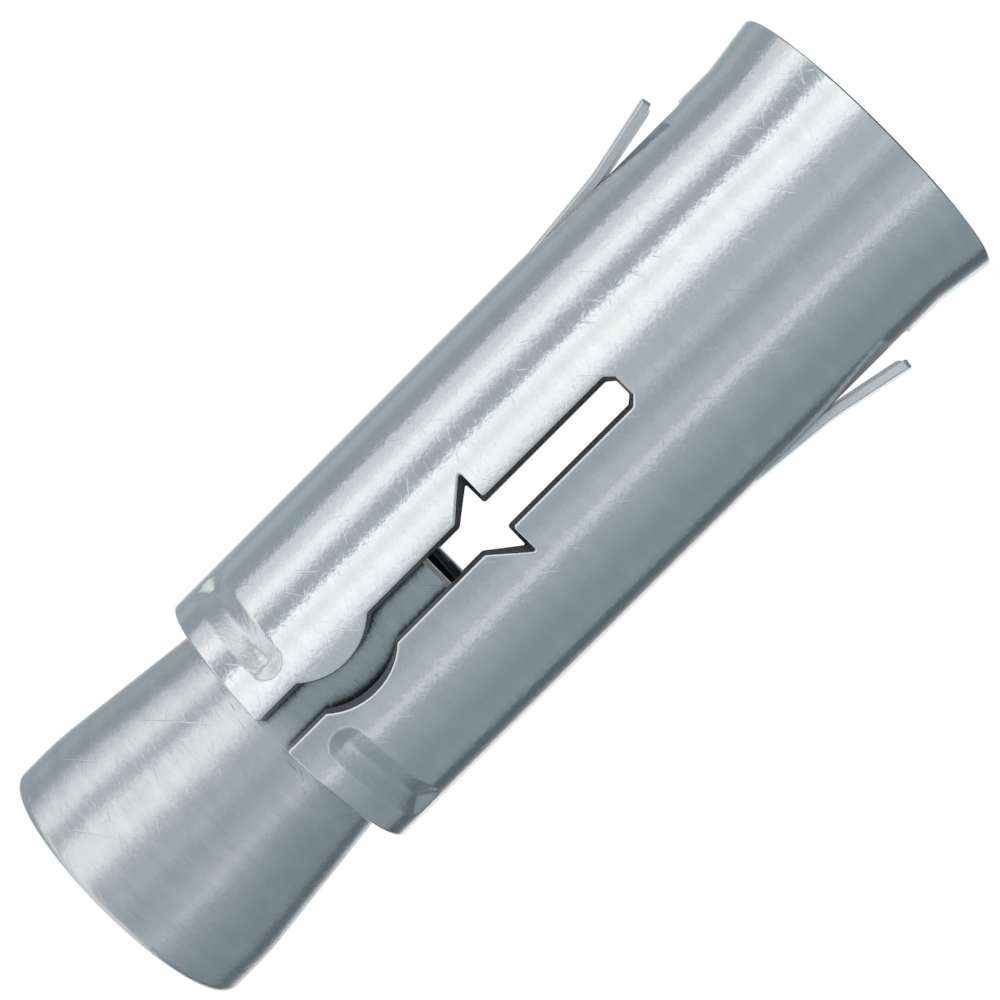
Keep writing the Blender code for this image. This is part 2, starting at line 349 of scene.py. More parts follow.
@dataclass
class Shape:
    """A piece's mesh while it is put together.

    Args:
        points: Blocks of points.
        normals: The normals of each block.
        wraps: The places of each block on the unrolled surface.
        faces: Blocks of faces, one row of point numbers each.
        regions: The region of each face, as its material slot.
        count: How many points it has so far.
    """

    points: list[np.ndarray] = field(default_factory=list)
    normals: list[np.ndarray] = field(default_factory=list)
    wraps: list[np.ndarray] = field(default_factory=list)
    faces: list[np.ndarray] = field(default_factory=list)
    regions: list[int] = field(default_factory=list)
    count: int = 0

    def add_points(self, points: np.ndarray, normals: np.ndarray, wraps: np.ndarray) -> np.ndarray:
        """Adds points.

        Args:
            points: Their places, one row each.
            normals: Their normals.
            wraps: Their places on the unrolled surface.

        Returns:
            Their numbers.
        """
        numbers = np.arange(self.count, self.count + len(points))
        self.points.append(points)
        self.normals.append(normals)
        self.wraps.append(wraps)
        self.count += len(points)
        return numbers

    def add_faces(self, faces: np.ndarray, region: Region) -> None:
        """Adds faces.

        Args:
            faces: One row of point numbers for each face.
            region: The region that they belong to.
        """
        if len(faces):
            self.faces.append(faces)
            self.regions += [region.value] * len(faces)

    def to_object(self, name: str) -> bpy.types.Object:
        """Makes the piece.

        Args:
            name: Its name.

        Returns:
            The new object, shaded with the points' own normals.
        """
        faces = [tuple(row) for rows in self.faces for row in rows.tolist()]
        mesh = bpy.data.meshes.new(name)
        mesh.from_pydata(np.concatenate(self.points).tolist(), [], faces)
        mesh.polygons.foreach_set("material_index", self.regions)
        store = mesh.attributes.new(NORMAL_STORE, "FLOAT_VECTOR", "POINT")
        store.data.foreach_set("vector", np.concatenate(self.normals).astype(np.float32).ravel())
        corners = np.zeros(len(mesh.loops), np.int32)
        mesh.loops.foreach_get("vertex_index", corners)
        wrap = mesh.uv_layers.new(name=WRAP_MAP)
        wrap.data.foreach_set("uv", np.concatenate(self.wraps)[corners].astype(np.float32).ravel())
        bm = bmesh.new()
        bm.from_mesh(mesh)
        loose = [vert for vert in bm.verts if not vert.link_faces]
        bmesh.ops.delete(bm, geom=loose, context="VERTS")
        bmesh.ops.remove_doubles(bm, verts=bm.verts, dist=JOIN_DISTANCE)
        bmesh.ops.triangulate(bm, faces=bm.faces)
        bm.to_mesh(mesh)
        bm.free()
        mesh.shade_smooth()
        normals = np.zeros(len(mesh.vertices) * 3, np.float32)
        mesh.attributes[NORMAL_STORE].data.foreach_get("vector", normals)
        mesh.attributes.remove(mesh.attributes[NORMAL_STORE])
        mesh.normals_split_custom_set_from_vertices(normals.reshape(-1, 3).tolist())
        return into_scene(name, mesh)


@dataclass
class Sheet(ABC):
    """A thin steel wall that is drawn flat and then put in its place in space.

    Args:
        edge_radius: How far its cut edges are rounded outside.
        inner_edge_radius: How far they are rounded inside.
        step: The distance between points along its outline.
    """

    edge_radius: float = 0.15 * MM
    inner_edge_radius: float = 0.04 * MM
    step: float = 0.32 * MM

    @abstractmethod
    def outline(self) -> Line:
        """The closed outline of the flat sheet."""

    @abstractmethod
    def place(self, flat: np.ndarray, skin: Skin, drop: float) -> np.ndarray:
        """Puts flat points in their place.

        Args:
            flat: The points on the flat sheet.
            skin: The side of the sheet they lie on.
            drop: How far they lie below that side.

        Returns:
            The points in space.
        """

    @abstractmethod
    def free_points(self, edge: np.ndarray) -> np.ndarray:
        """Points inside the outline that carry the sheet's form.

        Args:
            edge: The closed line that they stay inside.

        Returns:
            The points on the flat sheet.
        """

    def inner_loops(self) -> list[np.ndarray]:
        """Closed lines inside the outline that the mesh follows."""
        return []

    def tangents(self, flat: np.ndarray, skin: Skin) -> tuple[np.ndarray, np.ndarray]:
        """The directions across and along one side of the sheet.

        Args:
            flat: The points on the flat sheet.
            skin: The side of the sheet they lie on.

        Returns:
            The unit vectors across and along at each point.
        """
        reach = 0.006 * MM
        across = np.array((reach, 0.0))
        along = np.array((0.0, reach))
        first = self.place(flat + across, skin, 0.0) - self.place(flat - across, skin, 0.0)
        second = self.place(flat + along, skin, 0.0) - self.place(flat - along, skin, 0.0)
        return unit(first), unit(second)

    def region_masks(self, flat: np.ndarray, skin: Skin) -> dict[Region, np.ndarray]:
        """Which flat points lie in a region other than that of their side."""
        return {}

    def rounding(self, skin: Skin) -> float:
        """The radius of the rounded edges on one side."""
        return self.edge_radius if skin is Skin.OUTER else self.inner_edge_radius

    def mesh_inside(self, edge: np.ndarray) -> tuple[np.ndarray, np.ndarray, np.ndarray]:
        """Triangulates the sheet inside its rounded edge.

        Args:
            edge: The closed line where the rounding ends.

        Returns:
            The flat points, the triangles, and the numbers of the edge's own points.
        """
        loops = [edge] + self.inner_loops()
        flat = np.concatenate(loops + [self.free_points(edge)])
        edges = []
        first = 0
        for loop in loops:
            size = len(loop)
            edges += [(first + k, first + (k + 1) % size) for k in range(size)]
            first += size
        coords = [Vector((x / MM, y / MM)) for x, y in flat]
        verts, _, faces, sources, _, _ = delaunay_2d_cdt(coords, edges, [], KEEP_INSIDE, MEETING_GAP)
        numbers = np.zeros(len(flat), int)
        for number, source in enumerate(sources):
            for origin in source:
                numbers[origin] = number
        met = np.array([(vert.x * MM, vert.y * MM) for vert in verts])
        return met, np.array([tuple(face) for face in faces]), numbers[: len(edge)]

    def add_ring(self, shape: Shape, outline: Line, skin: Skin, bend: float) -> np.ndarray:
        """Adds one line of points along a rounded edge.

        Args:
            shape: The shape it is added to.
            outline: The sheet's outline.
            skin: The side whose edge is rounded.
            bend: How far round the edge the line lies, from 0 at the cut wall.

        Returns:
            The points' numbers.
        """
        rounding = self.rounding(skin)
        ring = outline.inset(rounding * (1 - math.cos(bend)))
        across, along = self.tangents(ring, skin)
        upright = unit(np.cross(across, along)) * skin.value
        out = unit(across * outline.normals[:, :1] + along * outline.normals[:, 1:])
        drop = rounding * (1 - math.sin(bend))
        lean = out * math.cos(bend) + upright * math.sin(bend)
        return shape.add_points(self.place(ring, skin, drop), unit(lean), ring / MM)

    def add_side(self, shape: Shape, outline: Line, skin: Skin) -> np.ndarray:
        """Adds one side of the sheet with its rounded edge.

        Args:
            shape: The shape it is added to.
            outline: The sheet's outline.
            skin: The side.

        Returns:
            The numbers of the points where the rounded edge meets the cut wall.
        """
        region = Region.SKIN if skin is Skin.OUTER else Region.BORE
        flat, triangles, edge_numbers = self.mesh_inside(outline.inset(self.rounding(skin)))
        across, along = self.tangents(flat, skin)
        normals = unit(np.cross(across, along)) * skin.value
        numbers = shape.add_points(self.place(flat, skin, 0.0), normals, flat / MM)
        ordered = triangles if skin is Skin.OUTER else triangles[:, ::-1]
        left = np.ones(len(triangles), bool)
        for special, found in self.region_masks(flat[triangles].mean(axis=1), skin).items():
            shape.add_faces(numbers[ordered[left & found]], special)
            left &= ~found
        shape.add_faces(numbers[ordered[left]], region)
        rings = [self.add_ring(shape, outline, skin, bend) for bend in EDGE_BENDS]
        rings.append(numbers[edge_numbers])
        start, end = outline.stretches()
        for lower, upper in zip(rings, rings[1:]):
            strip = np.column_stack((lower[start], lower[end], upper[end], upper[start]))
            shape.add_faces(strip if skin is Skin.OUTER else strip[:, ::-1], region)
        return rings[0]

    def add_to(self, shape: Shape) -> None:
        """Adds the sheet's two sides, its rounded edges and its cut walls.

        Args:
            shape: The shape it is added to.
        """
        outline = self.outline()
        start, end = outline.stretches()
        outer, inner = [self.add_side(shape, outline, skin) for skin in Skin]
        strip = np.column_stack((outer[start], inner[start], inner[end], outer[end]))
        shape.add_faces(strip, Region.CUT)


@dataclass(kw_only=True)
class SleeveWall(Sheet):
    """The sleeve's tube wall, unrolled at its outside and cut open along the back slot.

    Args:
        length: Its length from the rim to the mouth.
        rim_radius: The outside radius at the rim's end face.
        flare: How much wider the rim is than the tube.
        flare_length: How far up the flare reaches.
        wall: The wall's thickness.
        slot_width: Width of the two long slots.
        slot_length: Their length from the mouth.
        slot_end_chamfer: The chamfer in the corners of their closed end.
        slot_end_rounding: The rounding of that chamfer's corners.
        mouth_rounding: The rounding of the legs' corners at the mouth.
        barb_reach: How far a slot's barb cuts into each leg.
        barb_length: The barb's length along the slot.
        barb_roundings: The roundings where a barb starts, at its tip and where it ends.
        front_barb: The distance from the mouth to the front slot's barb.
        back_barb: The same for the back slot.
        lobe_from_mouth: The distance from the mouth to the lobe.
        lobe_chord: The lobe's length along the slot.
        lobe_rise: How far the lobe stands to the side.
        lobe_rounding: The rounding of the corners where it starts and ends.
        groove_from_mouth: The distance from the mouth to the grooves' root line.
        groove_width: Their width.
        groove_depth: Their depth.
        ridge_height: How far their ridges stand out inside.
        groove_ends: The bearings from the nearest slot between which each groove runs.
        pocket_root: The height of the tongues' root, where their pockets end.
        pocket_length: The pockets' length.
        pocket_half_width: Half their width.
        pocket_depth: Their depth.
        pocket_rounding: The rounding of their corners.
    """

    length: float
    rim_radius: float
    flare: float = 0.41 * MM
    flare_length: float = 2.95 * MM
    wall: float = 1.25 * MM
    slot_width: float = 1.95 * MM
    slot_length: float = 23.2 * MM
    slot_end_chamfer: float = 0.42 * MM
    slot_end_rounding: float = 0.15 * MM
    mouth_rounding: float = 0.22 * MM
    barb_reach: float = 1.66 * MM
    barb_length: float = 1.8 * MM
    barb_roundings: tuple[float, float, float] = (0.3 * MM, 0.07 * MM, 0.2 * MM)
    front_barb: float = 14.9 * MM
    back_barb: float = 14.0 * MM
    lobe_from_mouth: float = 2.6 * MM
    lobe_chord: float = 4.7 * MM
    lobe_rise: float = 0.95 * MM
    lobe_rounding: float = 0.25 * MM
    groove_from_mouth: float = 2.2 * MM
    groove_width: float = 1.86 * MM
    groove_depth: float = 0.45 * MM
    ridge_height: float = 0.3 * MM
    groove_ends: tuple[float, float] = (math.radians(14.0), math.radians(75.0))
    pocket_root: float = 15.43 * MM
    pocket_length: float = 10.35 * MM
    pocket_half_width: float = 1.94 * MM
    pocket_depth: float = 0.48 * MM
    pocket_rounding: float = 0.15 * MM

    @property
    def radius(self) -> float:
        """The tube's outside radius above the flare."""
        return self.rim_radius - self.flare

    @property
    def half_turn(self) -> float:
        """Half the way round the tube's outside."""
        return math.pi * self.radius

    def slot_side(self, side: int, middle: float, barb: float) -> list[Corner]:
        """One side of a slot.

        Args:
            side: 1 for the side towards larger bearings, -1 for the other.
            middle: The slot's middle line on the flat sheet.
            barb: The distance from the mouth to its barb.

        Returns:
            The corners from the mouth down to the slot's end.
        """
        edge = middle + side * self.slot_width / 2
        lobe_radius = (self.lobe_chord ** 2 / 4 + self.lobe_rise ** 2) / (2 * self.lobe_rise)
        half_angle = math.asin(self.lobe_chord / 2 / lobe_radius)
        lobe_middle = self.length - self.lobe_from_mouth - self.lobe_chord / 2
        barb_height = self.length - barb
        end = self.length - self.slot_length
        barb_start, barb_tip, barb_end = self.barb_roundings
        steps = 14
        corners = [Corner(edge, self.length, self.mouth_rounding)]
        for step in range(steps + 1):
            angle = half_angle * (1 - 2 * step / steps)
            bulge = lobe_radius * math.cos(angle) - (lobe_radius - self.lobe_rise)
            rounding = self.lobe_rounding if step in (0, steps) else 0.0
            corners.append(Corner(edge - bulge, lobe_middle + lobe_radius * math.sin(angle), rounding))
        corners.append(Corner(edge, barb_height + self.barb_length, barb_start))
        corners.append(Corner(edge + side * self.barb_reach, barb_height, barb_tip))
        corners.append(Corner(edge, barb_height, barb_end))
        corners.append(Corner(edge, end + self.slot_end_chamfer, self.slot_end_rounding))
        corners.append(Corner(edge - side * self.slot_end_chamfer, end, self.slot_end_rounding))
        return corners

    def outline(self) -> Line:
        """Draws the wall's outline.

        Returns:
            The closed line, with the sheet on its left-hand side.
        """
        end = self.length - self.slot_length
        right_back = self.slot_side(-1, self.half_turn, self.back_barb)
        left_back = self.slot_side(1, -self.half_turn, self.back_barb)
        corners = [Corner(-self.half_turn, 0.0), Corner(self.half_turn, 0.0, seam_follows=True)]
        corners += [Corner(self.half_turn, end)] + right_back[::-1]
        corners += self.slot_side(1, 0.0, self.front_barb)
        corners += self.slot_side(-1, 0.0, self.front_barb)[::-1]
        corners += left_back + [Corner(-self.half_turn, end, seam_follows=True)]
        return trace(corners, self.step)

    def groove_share(self, flat: np.ndarray) -> np.ndarray:
        """Tells how far the wall is pressed in at each point.

        Args:
            flat: The points on the flat sheet.

        Returns:
            A share for each point, 1 along a groove's root and 0 outside it.
        """
        bearing = np.mod(flat[:, 0] / self.radius, math.pi)
        bearing = np.minimum(bearing, math.pi - bearing)
        half = self.groove_width / 2
        first, last = self.groove_ends
        nearest = np.clip(bearing, first + half / self.radius, last - half / self.radius)
        aside = self.radius * (bearing - nearest)
        height = flat[:, 1] - (self.length - self.groove_from_mouth)
        away = np.hypot(aside, height) / half
        root = 0.17
        slope = 1.0 - (np.hypot(away, root) - root) / (math.hypot(1.0, root) - root)
        shoulder = 0.09
        blend = np.clip(slope + shoulder, 0.0, None) ** 2 / (4 * shoulder)
        return np.where(slope < shoulder, blend, slope)

    def pocket_share(self, flat: np.ndarray) -> np.ndarray:
        """Tells how far each point lies in a tongue's pocket.

        Args:
            flat: The points on the flat sheet.

        Returns:
            A share for each point, 1 on a pocket's floor and 0 outside it.
        """
        middle_height = self.pocket_root - self.pocket_length / 2
        rounding = self.pocket_rounding
        wall_start = 0.04 * MM
        wall_width = 0.1 * MM
        found = np.zeros(len(flat))
        for leg in Leg:
            aside = np.abs(flat[:, 0] - leg.value * self.radius) - (self.pocket_half_width - rounding)
            along = np.abs(flat[:, 1] - middle_height) - (self.pocket_length / 2 - rounding)
            gap = np.hypot(np.maximum(aside, 0.0), np.maximum(along, 0.0))
            gap += np.minimum(np.maximum(aside, along), 0.0) - rounding
            share = np.clip((wall_start - gap) / wall_width, 0.0, 1.0)
            found = np.maximum(found, share * share * (3 - 2 * share))
        return found

    def region_masks(self, flat: np.ndarray, skin: Skin) -> dict[Region, np.ndarray]:
        """Tells the skived pockets and the pressed grooves from the rest of the outside.

        Args:
            flat: The points on the flat sheet.
            skin: The side of the sheet they lie on.

        Returns:
            A truth value for each point, by region.
        """
        if skin is Skin.INNER:
            return {}
        in_pocket = self.pocket_share(flat) > 0.02
        in_groove = self.groove_share(flat) > 0.01
        return {Region.POCKET: in_pocket, Region.PRESSED: in_groove}

    def flare_rise(self, height: np.ndarray) -> np.ndarray:
        """Tells how much wider than the tube the flared rim is.

        Args:
            height: The heights above the rim's end face.

        Returns:
            What the flare adds to the radius at each height.
        """
        slope = self.flare / self.flare_length
        soft = 0.13 * MM
        straight = self.flare - slope * height
        blend = slope * np.clip(self.flare_length + soft - height, 0.0, None) ** 2 / (4 * soft)
        return np.where(height < self.flare_length - soft, straight, blend)

    def place(self, flat: np.ndarray, skin: Skin, drop: float) -> np.ndarray:
        """Rolls flat points up around the axis.

        Args:
            flat: The points on the flat sheet.
            skin: The side of the sheet they lie on.
            drop: How far they lie below that side.

        Returns:
            The points in space.
        """
        bearing = flat[:, 0] / self.radius
        radius = self.radius + self.flare_rise(flat[:, 1])
        if skin is Skin.OUTER:
            pressed = self.groove_depth * self.groove_share(flat)
            radius = radius - pressed - self.pocket_depth * self.pocket_share(flat) - drop
        else:
            radius = radius - self.wall - self.ridge_height * self.groove_share(flat) + drop
        return around_axis(bearing, radius, flat[:, 1])

    def inner_loops(self) -> list[np.ndarray]:
        """Draws the lines along the pockets' edges.

        Returns:
            The points of each closed line.
        """
        loops = []
        top = self.pocket_root
        foot = top - self.pocket_length
        insets = [distance * MM for distance in (-0.05, -0.025, 0.0, 0.025, 0.05, 0.075)]
        for leg in Leg:
            middle = leg.value * self.radius
            left = middle - self.pocket_half_width
            right = middle + self.pocket_half_width
            places = ((left, foot), (right, foot), (right, top), (left, top))
            line = trace([Corner(x, y, self.pocket_rounding) for x, y in places], self.step)
            loops += [line.inset(distance) for distance in insets]
        return loops

    @property
    def groove_row(self) -> float:
        """The height of one row of points over a groove, nine of which make half its width."""
        return self.groove_width / 18

    def groove_boxes(self) -> list[tuple[float, float, float, float]]:
        """Frames the four grooves.

        Returns:
            The left, right, low and high side of the flat rectangle around each groove.
        """
        margin = self.groove_row * 2.5
        height = self.length - self.groove_from_mouth
        low = height - self.groove_width / 2 - margin
        high = height + self.groove_width / 2 + margin
        first, last = (bearing * self.radius for bearing in self.groove_ends)
        boxes = []
        for start, end in ((first, last), (self.half_turn - last, self.half_turn - first)):
            boxes.append((start - margin, end + margin, low, high))
            boxes.append((-end - margin, -start + margin, low, high))
        return boxes

    def free_points(self, edge: np.ndarray) -> np.ndarray:
        """Spreads a coarse grid over the wall, and a fine one over its grooves and the flare's bend.

        Args:
            edge: The closed line that the points stay inside.

        Returns:
            The points on the flat sheet.
        """
        whole_turn = (-self.half_turn, self.half_turn)
        column = 0.42 * MM
        coarse = lattice(whole_turn, (0.0, self.length), (column, 0.56 * MM))
        fine = []
        margin = 0.1 * MM
        for left, right, low, high in self.groove_boxes():
            fine.append(lattice((left, right), (low, high), (0.135 * MM, self.groove_row)))
            across = (coarse[:, 0] > left - margin) & (coarse[:, 0] < right + margin)
            up = (coarse[:, 1] > low - margin) & (coarse[:, 1] < high + margin)
            coarse = coarse[~(across & up)]
        bend = self.flare_length
        row = 0.15 * MM
        coarse = coarse[np.abs(coarse[:, 1] - bend) > 2 * row]
        fine.append(lattice(whole_turn, (bend - row, bend + row), (column, row)))
        points = np.concatenate([coarse] + fine)
        points = points[inside(points, edge)]
        points = points[clearance(points, edge) > margin]
        for loop in self.inner_loops():
            points = points[clearance(points, loop) > 0.12 * MM]
        return points


@dataclass(kw_only=True)
class GripTongue(Sheet):
    """A thin tongue skived up from the wall, which leans out, and further out below its elbow.

    Args:
        leg: The leg it stands on.
        radius: The tube's outside radius.
        reach: The radius that its tip reaches.
        root_height: The height of its root.
        drop_length: How far its tip lies below its root.
        elbow_drop: How far its elbow lies below its root.
        elbow_lift: How far the elbow stands out.
        elbow_radius: The radius of the bend at the elbow.
        thickness: Its thickness.
        width: Its width.
        tip_rounding: The rounding of the tip's corners.
        buried: How far its root runs on inside the wall.
        plunge: How steeply the buried root dips into the wall, in mm for a square mm.
    """

    leg: Leg
    radius: float
    reach: float
    root_height: float
    drop_length: float = 9.14 * MM
    elbow_drop: float = 4.8 * MM
    elbow_lift: float = 0.46 * MM
    elbow_radius: float = 8.0 * MM
    thickness: float = 0.46 * MM
    width: float = 3.6 * MM
    tip_rounding: float = 0.32 * MM
    buried: float = 0.35 * MM
    plunge: float = 0.9

    @property
    def skin_radius(self) -> float:
        """The radius of its outside at the root, a hair below the wall's."""
        return self.radius - 0.003 * MM

    @property
    def stretches(self) -> tuple[tuple[float, float], tuple[float, float]]:
        """Measures the straight stretches above and below the elbow.

        Returns:
            The length and the lean of each.
        """
        lower_lift = self.reach - self.skin_radius - self.elbow_lift
        lower_drop = self.drop_length - self.elbow_drop
        upper = (math.hypot(self.elbow_drop, self.elbow_lift), math.atan2(self.elbow_lift, self.elbow_drop))
        return upper, (math.hypot(lower_drop, lower_lift), math.atan2(lower_lift, lower_drop))

    def middle_line(self, way: np.ndarray) -> tuple[np.ndarray, np.ndarray, np.ndarray]:
        """The outer face's section.

        Args:
            way: The distances from the root down the face.

        Returns:
            The radius, the height and the lean at each distance.
        """
        (upper, first_lean), (lower, second_lean) = self.stretches
        bend = self.elbow_radius * (second_lean - first_lean) / 2
        root_bend = 0.15 * MM
        stops = (-root_bend, root_bend, upper - bend, upper + bend)
        table_size = 600
        table = np.linspace(-self.buried, upper + lower, table_size)
        lean = np.interp(table, stops, (0.0, first_lean, first_lean, second_lean))
        between = (lean[1:] + lean[:-1]) / 2
        pace = np.diff(table)
        radius = self.skin_radius + np.concatenate(([0.0], np.cumsum(np.sin(between) * pace)))
        height = self.root_height + self.buried - np.concatenate(([0.0], np.cumsum(np.cos(between) * pace)))
        return np.interp(way, table, radius), np.interp(way, table, height), np.interp(way, table, lean)

    def outline(self) -> Line:
        """Draws the tongue's outline.

        Returns:
            The closed line, with the tip at the bottom and the buried root at the top.
        """
        (upper, _), (lower, _) = self.stretches
        tip = -(upper + lower)
        half = self.width / 2
        root_rounding = 0.15 * MM
        corners = [
            Corner(-half, tip, self.tip_rounding),
            Corner(half, tip, self.tip_rounding),
            Corner(half, self.buried, root_rounding),
            Corner(-half, self.buried, root_rounding),
        ]
        return trace(corners, self.step)

    def place(self, flat: np.ndarray, skin: Skin, drop: float) -> np.ndarray:
        """Leans flat points out from the wall.

        Args:
            flat: The points on the flat sheet.
            skin: The side of the sheet they lie on.
            drop: How far they lie below that side.

        Returns:
            The points in space.
        """
        radius, height, lean = self.middle_line(-flat[:, 1])
        sink = 0.0 if skin is Skin.OUTER else self.thickness
        depth = sink + drop * skin.value
        behind = np.maximum(flat[:, 1], 0.0)
        radius = radius - depth * np.cos(lean) - self.plunge * behind ** 2 / MM
        height = height - depth * np.sin(lean)
        bearing = self.leg.value + flat[:, 0] / self.radius
        return around_axis(bearing, radius, height)

    def free_points(self, edge: np.ndarray) -> np.ndarray:
        """Spreads a plain grid over the tongue.

        Args:
            edge: The closed line that the points stay inside.

        Returns:
            The points on the flat sheet.
        """
        low = edge.min(axis=0)
        high = edge.max(axis=0)
        spacing = 0.3 * MM
        points = lattice((low[0], high[0]), (low[1], high[1]), (spacing, spacing))
        points = points[inside(points, edge)]
        return points[clearance(points, edge) > 0.1 * MM]


@dataclass
class ConeShape:
    """The turned cone nut, with its thread.

    Args:
        foot: The height of its foot.
        top: The height of its wide end face.
        wide_radius: The radius of its wide band.
        neck_radius: The radius of its neck.
        neck_length: The neck's length.
        neck_chamfer: The chamfer round the neck's foot.
        chamfer_roundings: The roundings of the chamfer's lower and upper edge.
        band_length: The length of the wide band.
        blend_radius: How softly neck, taper and band run into each other.
        wide_rounding: The rounding of the wide end's edge.
        core_radius: The thread's core radius.
        thread_depth: How deep its turns are cut.
        pitch: The height of one turn.
        crest_share: The share of a turn that the thread's flat crest takes.
        root_share: The share that its flat root takes.
        start: The share of a turn by which the thread is moved round.
        foot_lead: How far the bore is opened at the foot.
        top_lead: How far it is opened at the wide end.
        columns: The number of facets round it.
    """

    foot: float
    top: float
    wide_radius: float
    neck_radius: float = 6.1 * MM
    neck_length: float = 8.55 * MM
    neck_chamfer: float = 0.22 * MM
    chamfer_roundings: tuple[float, float] = (0.08 * MM, 0.12 * MM)
    band_length: float = 2.77 * MM
    blend_radius: float = 14.0 * MM
    wide_rounding: float = 0.5 * MM
    core_radius: float = 4.19 * MM
    thread_depth: float = 0.81 * MM
    pitch: float = 1.5 * MM
    crest_share: float = 0.25
    root_share: float = 0.125
    start: float = 0.375
    foot_lead: float = 0.05 * MM
    top_lead: float = 0.91 * MM
    columns: int = 160

    def outside(self) -> Line:
        """Draws the section of the outside.

        Returns:
            The open line from the bore's edge at the foot to the one at the wide end.
        """
        lead_radius = self.core_radius + self.top_lead
        chamfer = self.neck_chamfer
        low_rounding, high_rounding = self.chamfer_roundings
        longest_step = 0.6 * MM
        corners = [
            Corner(lead_radius, self.foot),
            Corner(self.neck_radius - chamfer, self.foot, low_rounding),
            Corner(self.neck_radius, self.foot + chamfer, high_rounding),
            Corner(self.neck_radius, self.foot + self.neck_length, self.blend_radius),
            Corner(self.wide_radius, self.top - self.band_length, self.blend_radius),
            Corner(self.wide_radius, self.top, self.wide_rounding),
            Corner(lead_radius, self.top),
        ]
        return trace(corners, longest_step, closed=False)

    def thread_radius(self, bearing: np.ndarray, height: np.ndarray) -> np.ndarray:
        """Measures the bore, thread and leads together.

        Args:
            bearing: The bearings of the places.
            height: Their heights.

        Returns:
            The bore's radius at each place.
        """
        turn = np.mod((height - self.foot) / self.pitch - bearing / (2 * math.pi) + self.start, 1.0)
        from_root = np.abs(turn - 0.5)
        flank_top = 0.5 - self.crest_share / 2
        flank_foot = self.root_share / 2
        cut = np.clip((flank_top - from_root) / (flank_top - flank_foot), 0.0, 1.0)
        soft_cut = cut * cut * (3 - 2 * cut)
        thread = self.core_radius + self.thread_depth * (0.8 * cut + 0.2 * soft_cut)
        foot_cone = self.core_radius + self.foot_lead - (height - self.foot)
        top_cone = self.core_radius + self.top_lead - (self.top - height)
        return np.maximum(thread, np.maximum(foot_cone, top_cone))

    def bore_point(self, bearing: np.ndarray, height: np.ndarray) -> np.ndarray:
        """The bore's points at these bearings and heights."""
        return around_axis(bearing, self.thread_radius(bearing, height), height)

    def add_outside(self, shape: Shape) -> None:
        """Adds the turned outside.

        Args:
            shape: The shape it is added to.
        """
        line = self.outside()
        rows = len(line.points)
        turns = self.columns + 1
        bearing = np.repeat(np.arange(turns) * 2 * math.pi / self.columns, rows)
        radius = np.tile(line.points[:, 0], turns)
        height = np.tile(line.points[:, 1], turns)
        for end in (0, rows - 1):
            radius[end::rows] = self.thread_radius(bearing[end::rows], height[end::rows])
        lean = unit(line.normals)
        points = around_axis(bearing, radius, height)
        normals = around_axis(bearing, np.tile(lean[:, 0], turns), np.tile(lean[:, 1], turns))
        path = np.concatenate(([0.0], np.cumsum(np.hypot(*np.diff(line.points, axis=0).T))))
        round_axis = (bearing - math.pi) * self.wide_radius
        wraps = np.column_stack((round_axis, np.tile(path, turns))) / MM
        numbers = shape.add_points(points, normals, wraps).reshape(turns, rows)
        here = numbers[:-1]
        there = numbers[1:]
        quads = np.stack((here[:, :-1], there[:, :-1], there[:, 1:], here[:, 1:]), axis=-1)
        faced_top = self.foot + self.neck_chamfer + 0.02 * MM
        low = line.points[:, 1] < faced_top
        faced = low[:-1] & low[1:]
        shape.add_faces(quads[:, faced].reshape(-1, 4), Region.CUT)
        shape.add_faces(quads[:, ~faced].reshape(-1, 4), Region.SKIN)

    def add_bore(self, shape: Shape) -> None:
        """Adds the threaded bore, in rows that follow the thread.

        Args:
            shape: The shape it is added to.
        """
        row_places = (
            0.0, 0.06, 0.125, 0.155, 0.21, 0.28, 0.35, 0.41, 0.4375,
            0.5, 0.5625, 0.59, 0.65, 0.72, 0.79, 0.845, 0.875, 0.94,
        )
        turns = math.ceil((self.top - self.foot) / self.pitch) + 1
        phases = np.array([turn + place for turn in range(-1, turns) for place in row_places])
        bearings = np.arange(self.columns + 1) * 2 * math.pi / self.columns
        grid_bearing, grid_phase = np.meshgrid(bearings, phases, indexing="ij")
        climb = self.foot + self.pitch * (grid_phase + grid_bearing / (2 * math.pi) - self.start)
        height = np.clip(climb, self.foot, self.top).ravel()
        bearing = grid_bearing.ravel()
        points = self.bore_point(bearing, height)
        reach = 0.01 * MM
        turn_step = reach / self.core_radius
        across = self.bore_point(bearing + turn_step, height) - self.bore_point(bearing - turn_step, height)
        above = np.minimum(height + reach, self.top)
        below = np.maximum(height - reach, self.foot)
        along = self.bore_point(bearing, above) - self.bore_point(bearing, below)
        normals = -unit(np.cross(across, along))
        wraps = np.column_stack(((bearing - math.pi) * self.core_radius, height)) / MM
        wraps[:, 1] += BORE_WRAP
        numbers = shape.add_points(points, normals, wraps).reshape(len(bearings), len(phases))
        here = numbers[:-1]
        there = numbers[1:]
        quads = np.stack((here[:, :-1], here[:, 1:], there[:, 1:], there[:, :-1]), axis=-1)
        level = height.reshape(len(bearings), len(phases))
        opened = (level[:-1, :-1] + level[1:, 1:]) / 2 < self.foot + self.foot_lead
        shape.add_faces(quads[opened], Region.CUT)
        shape.add_faces(quads[~opened], Region.BORE)


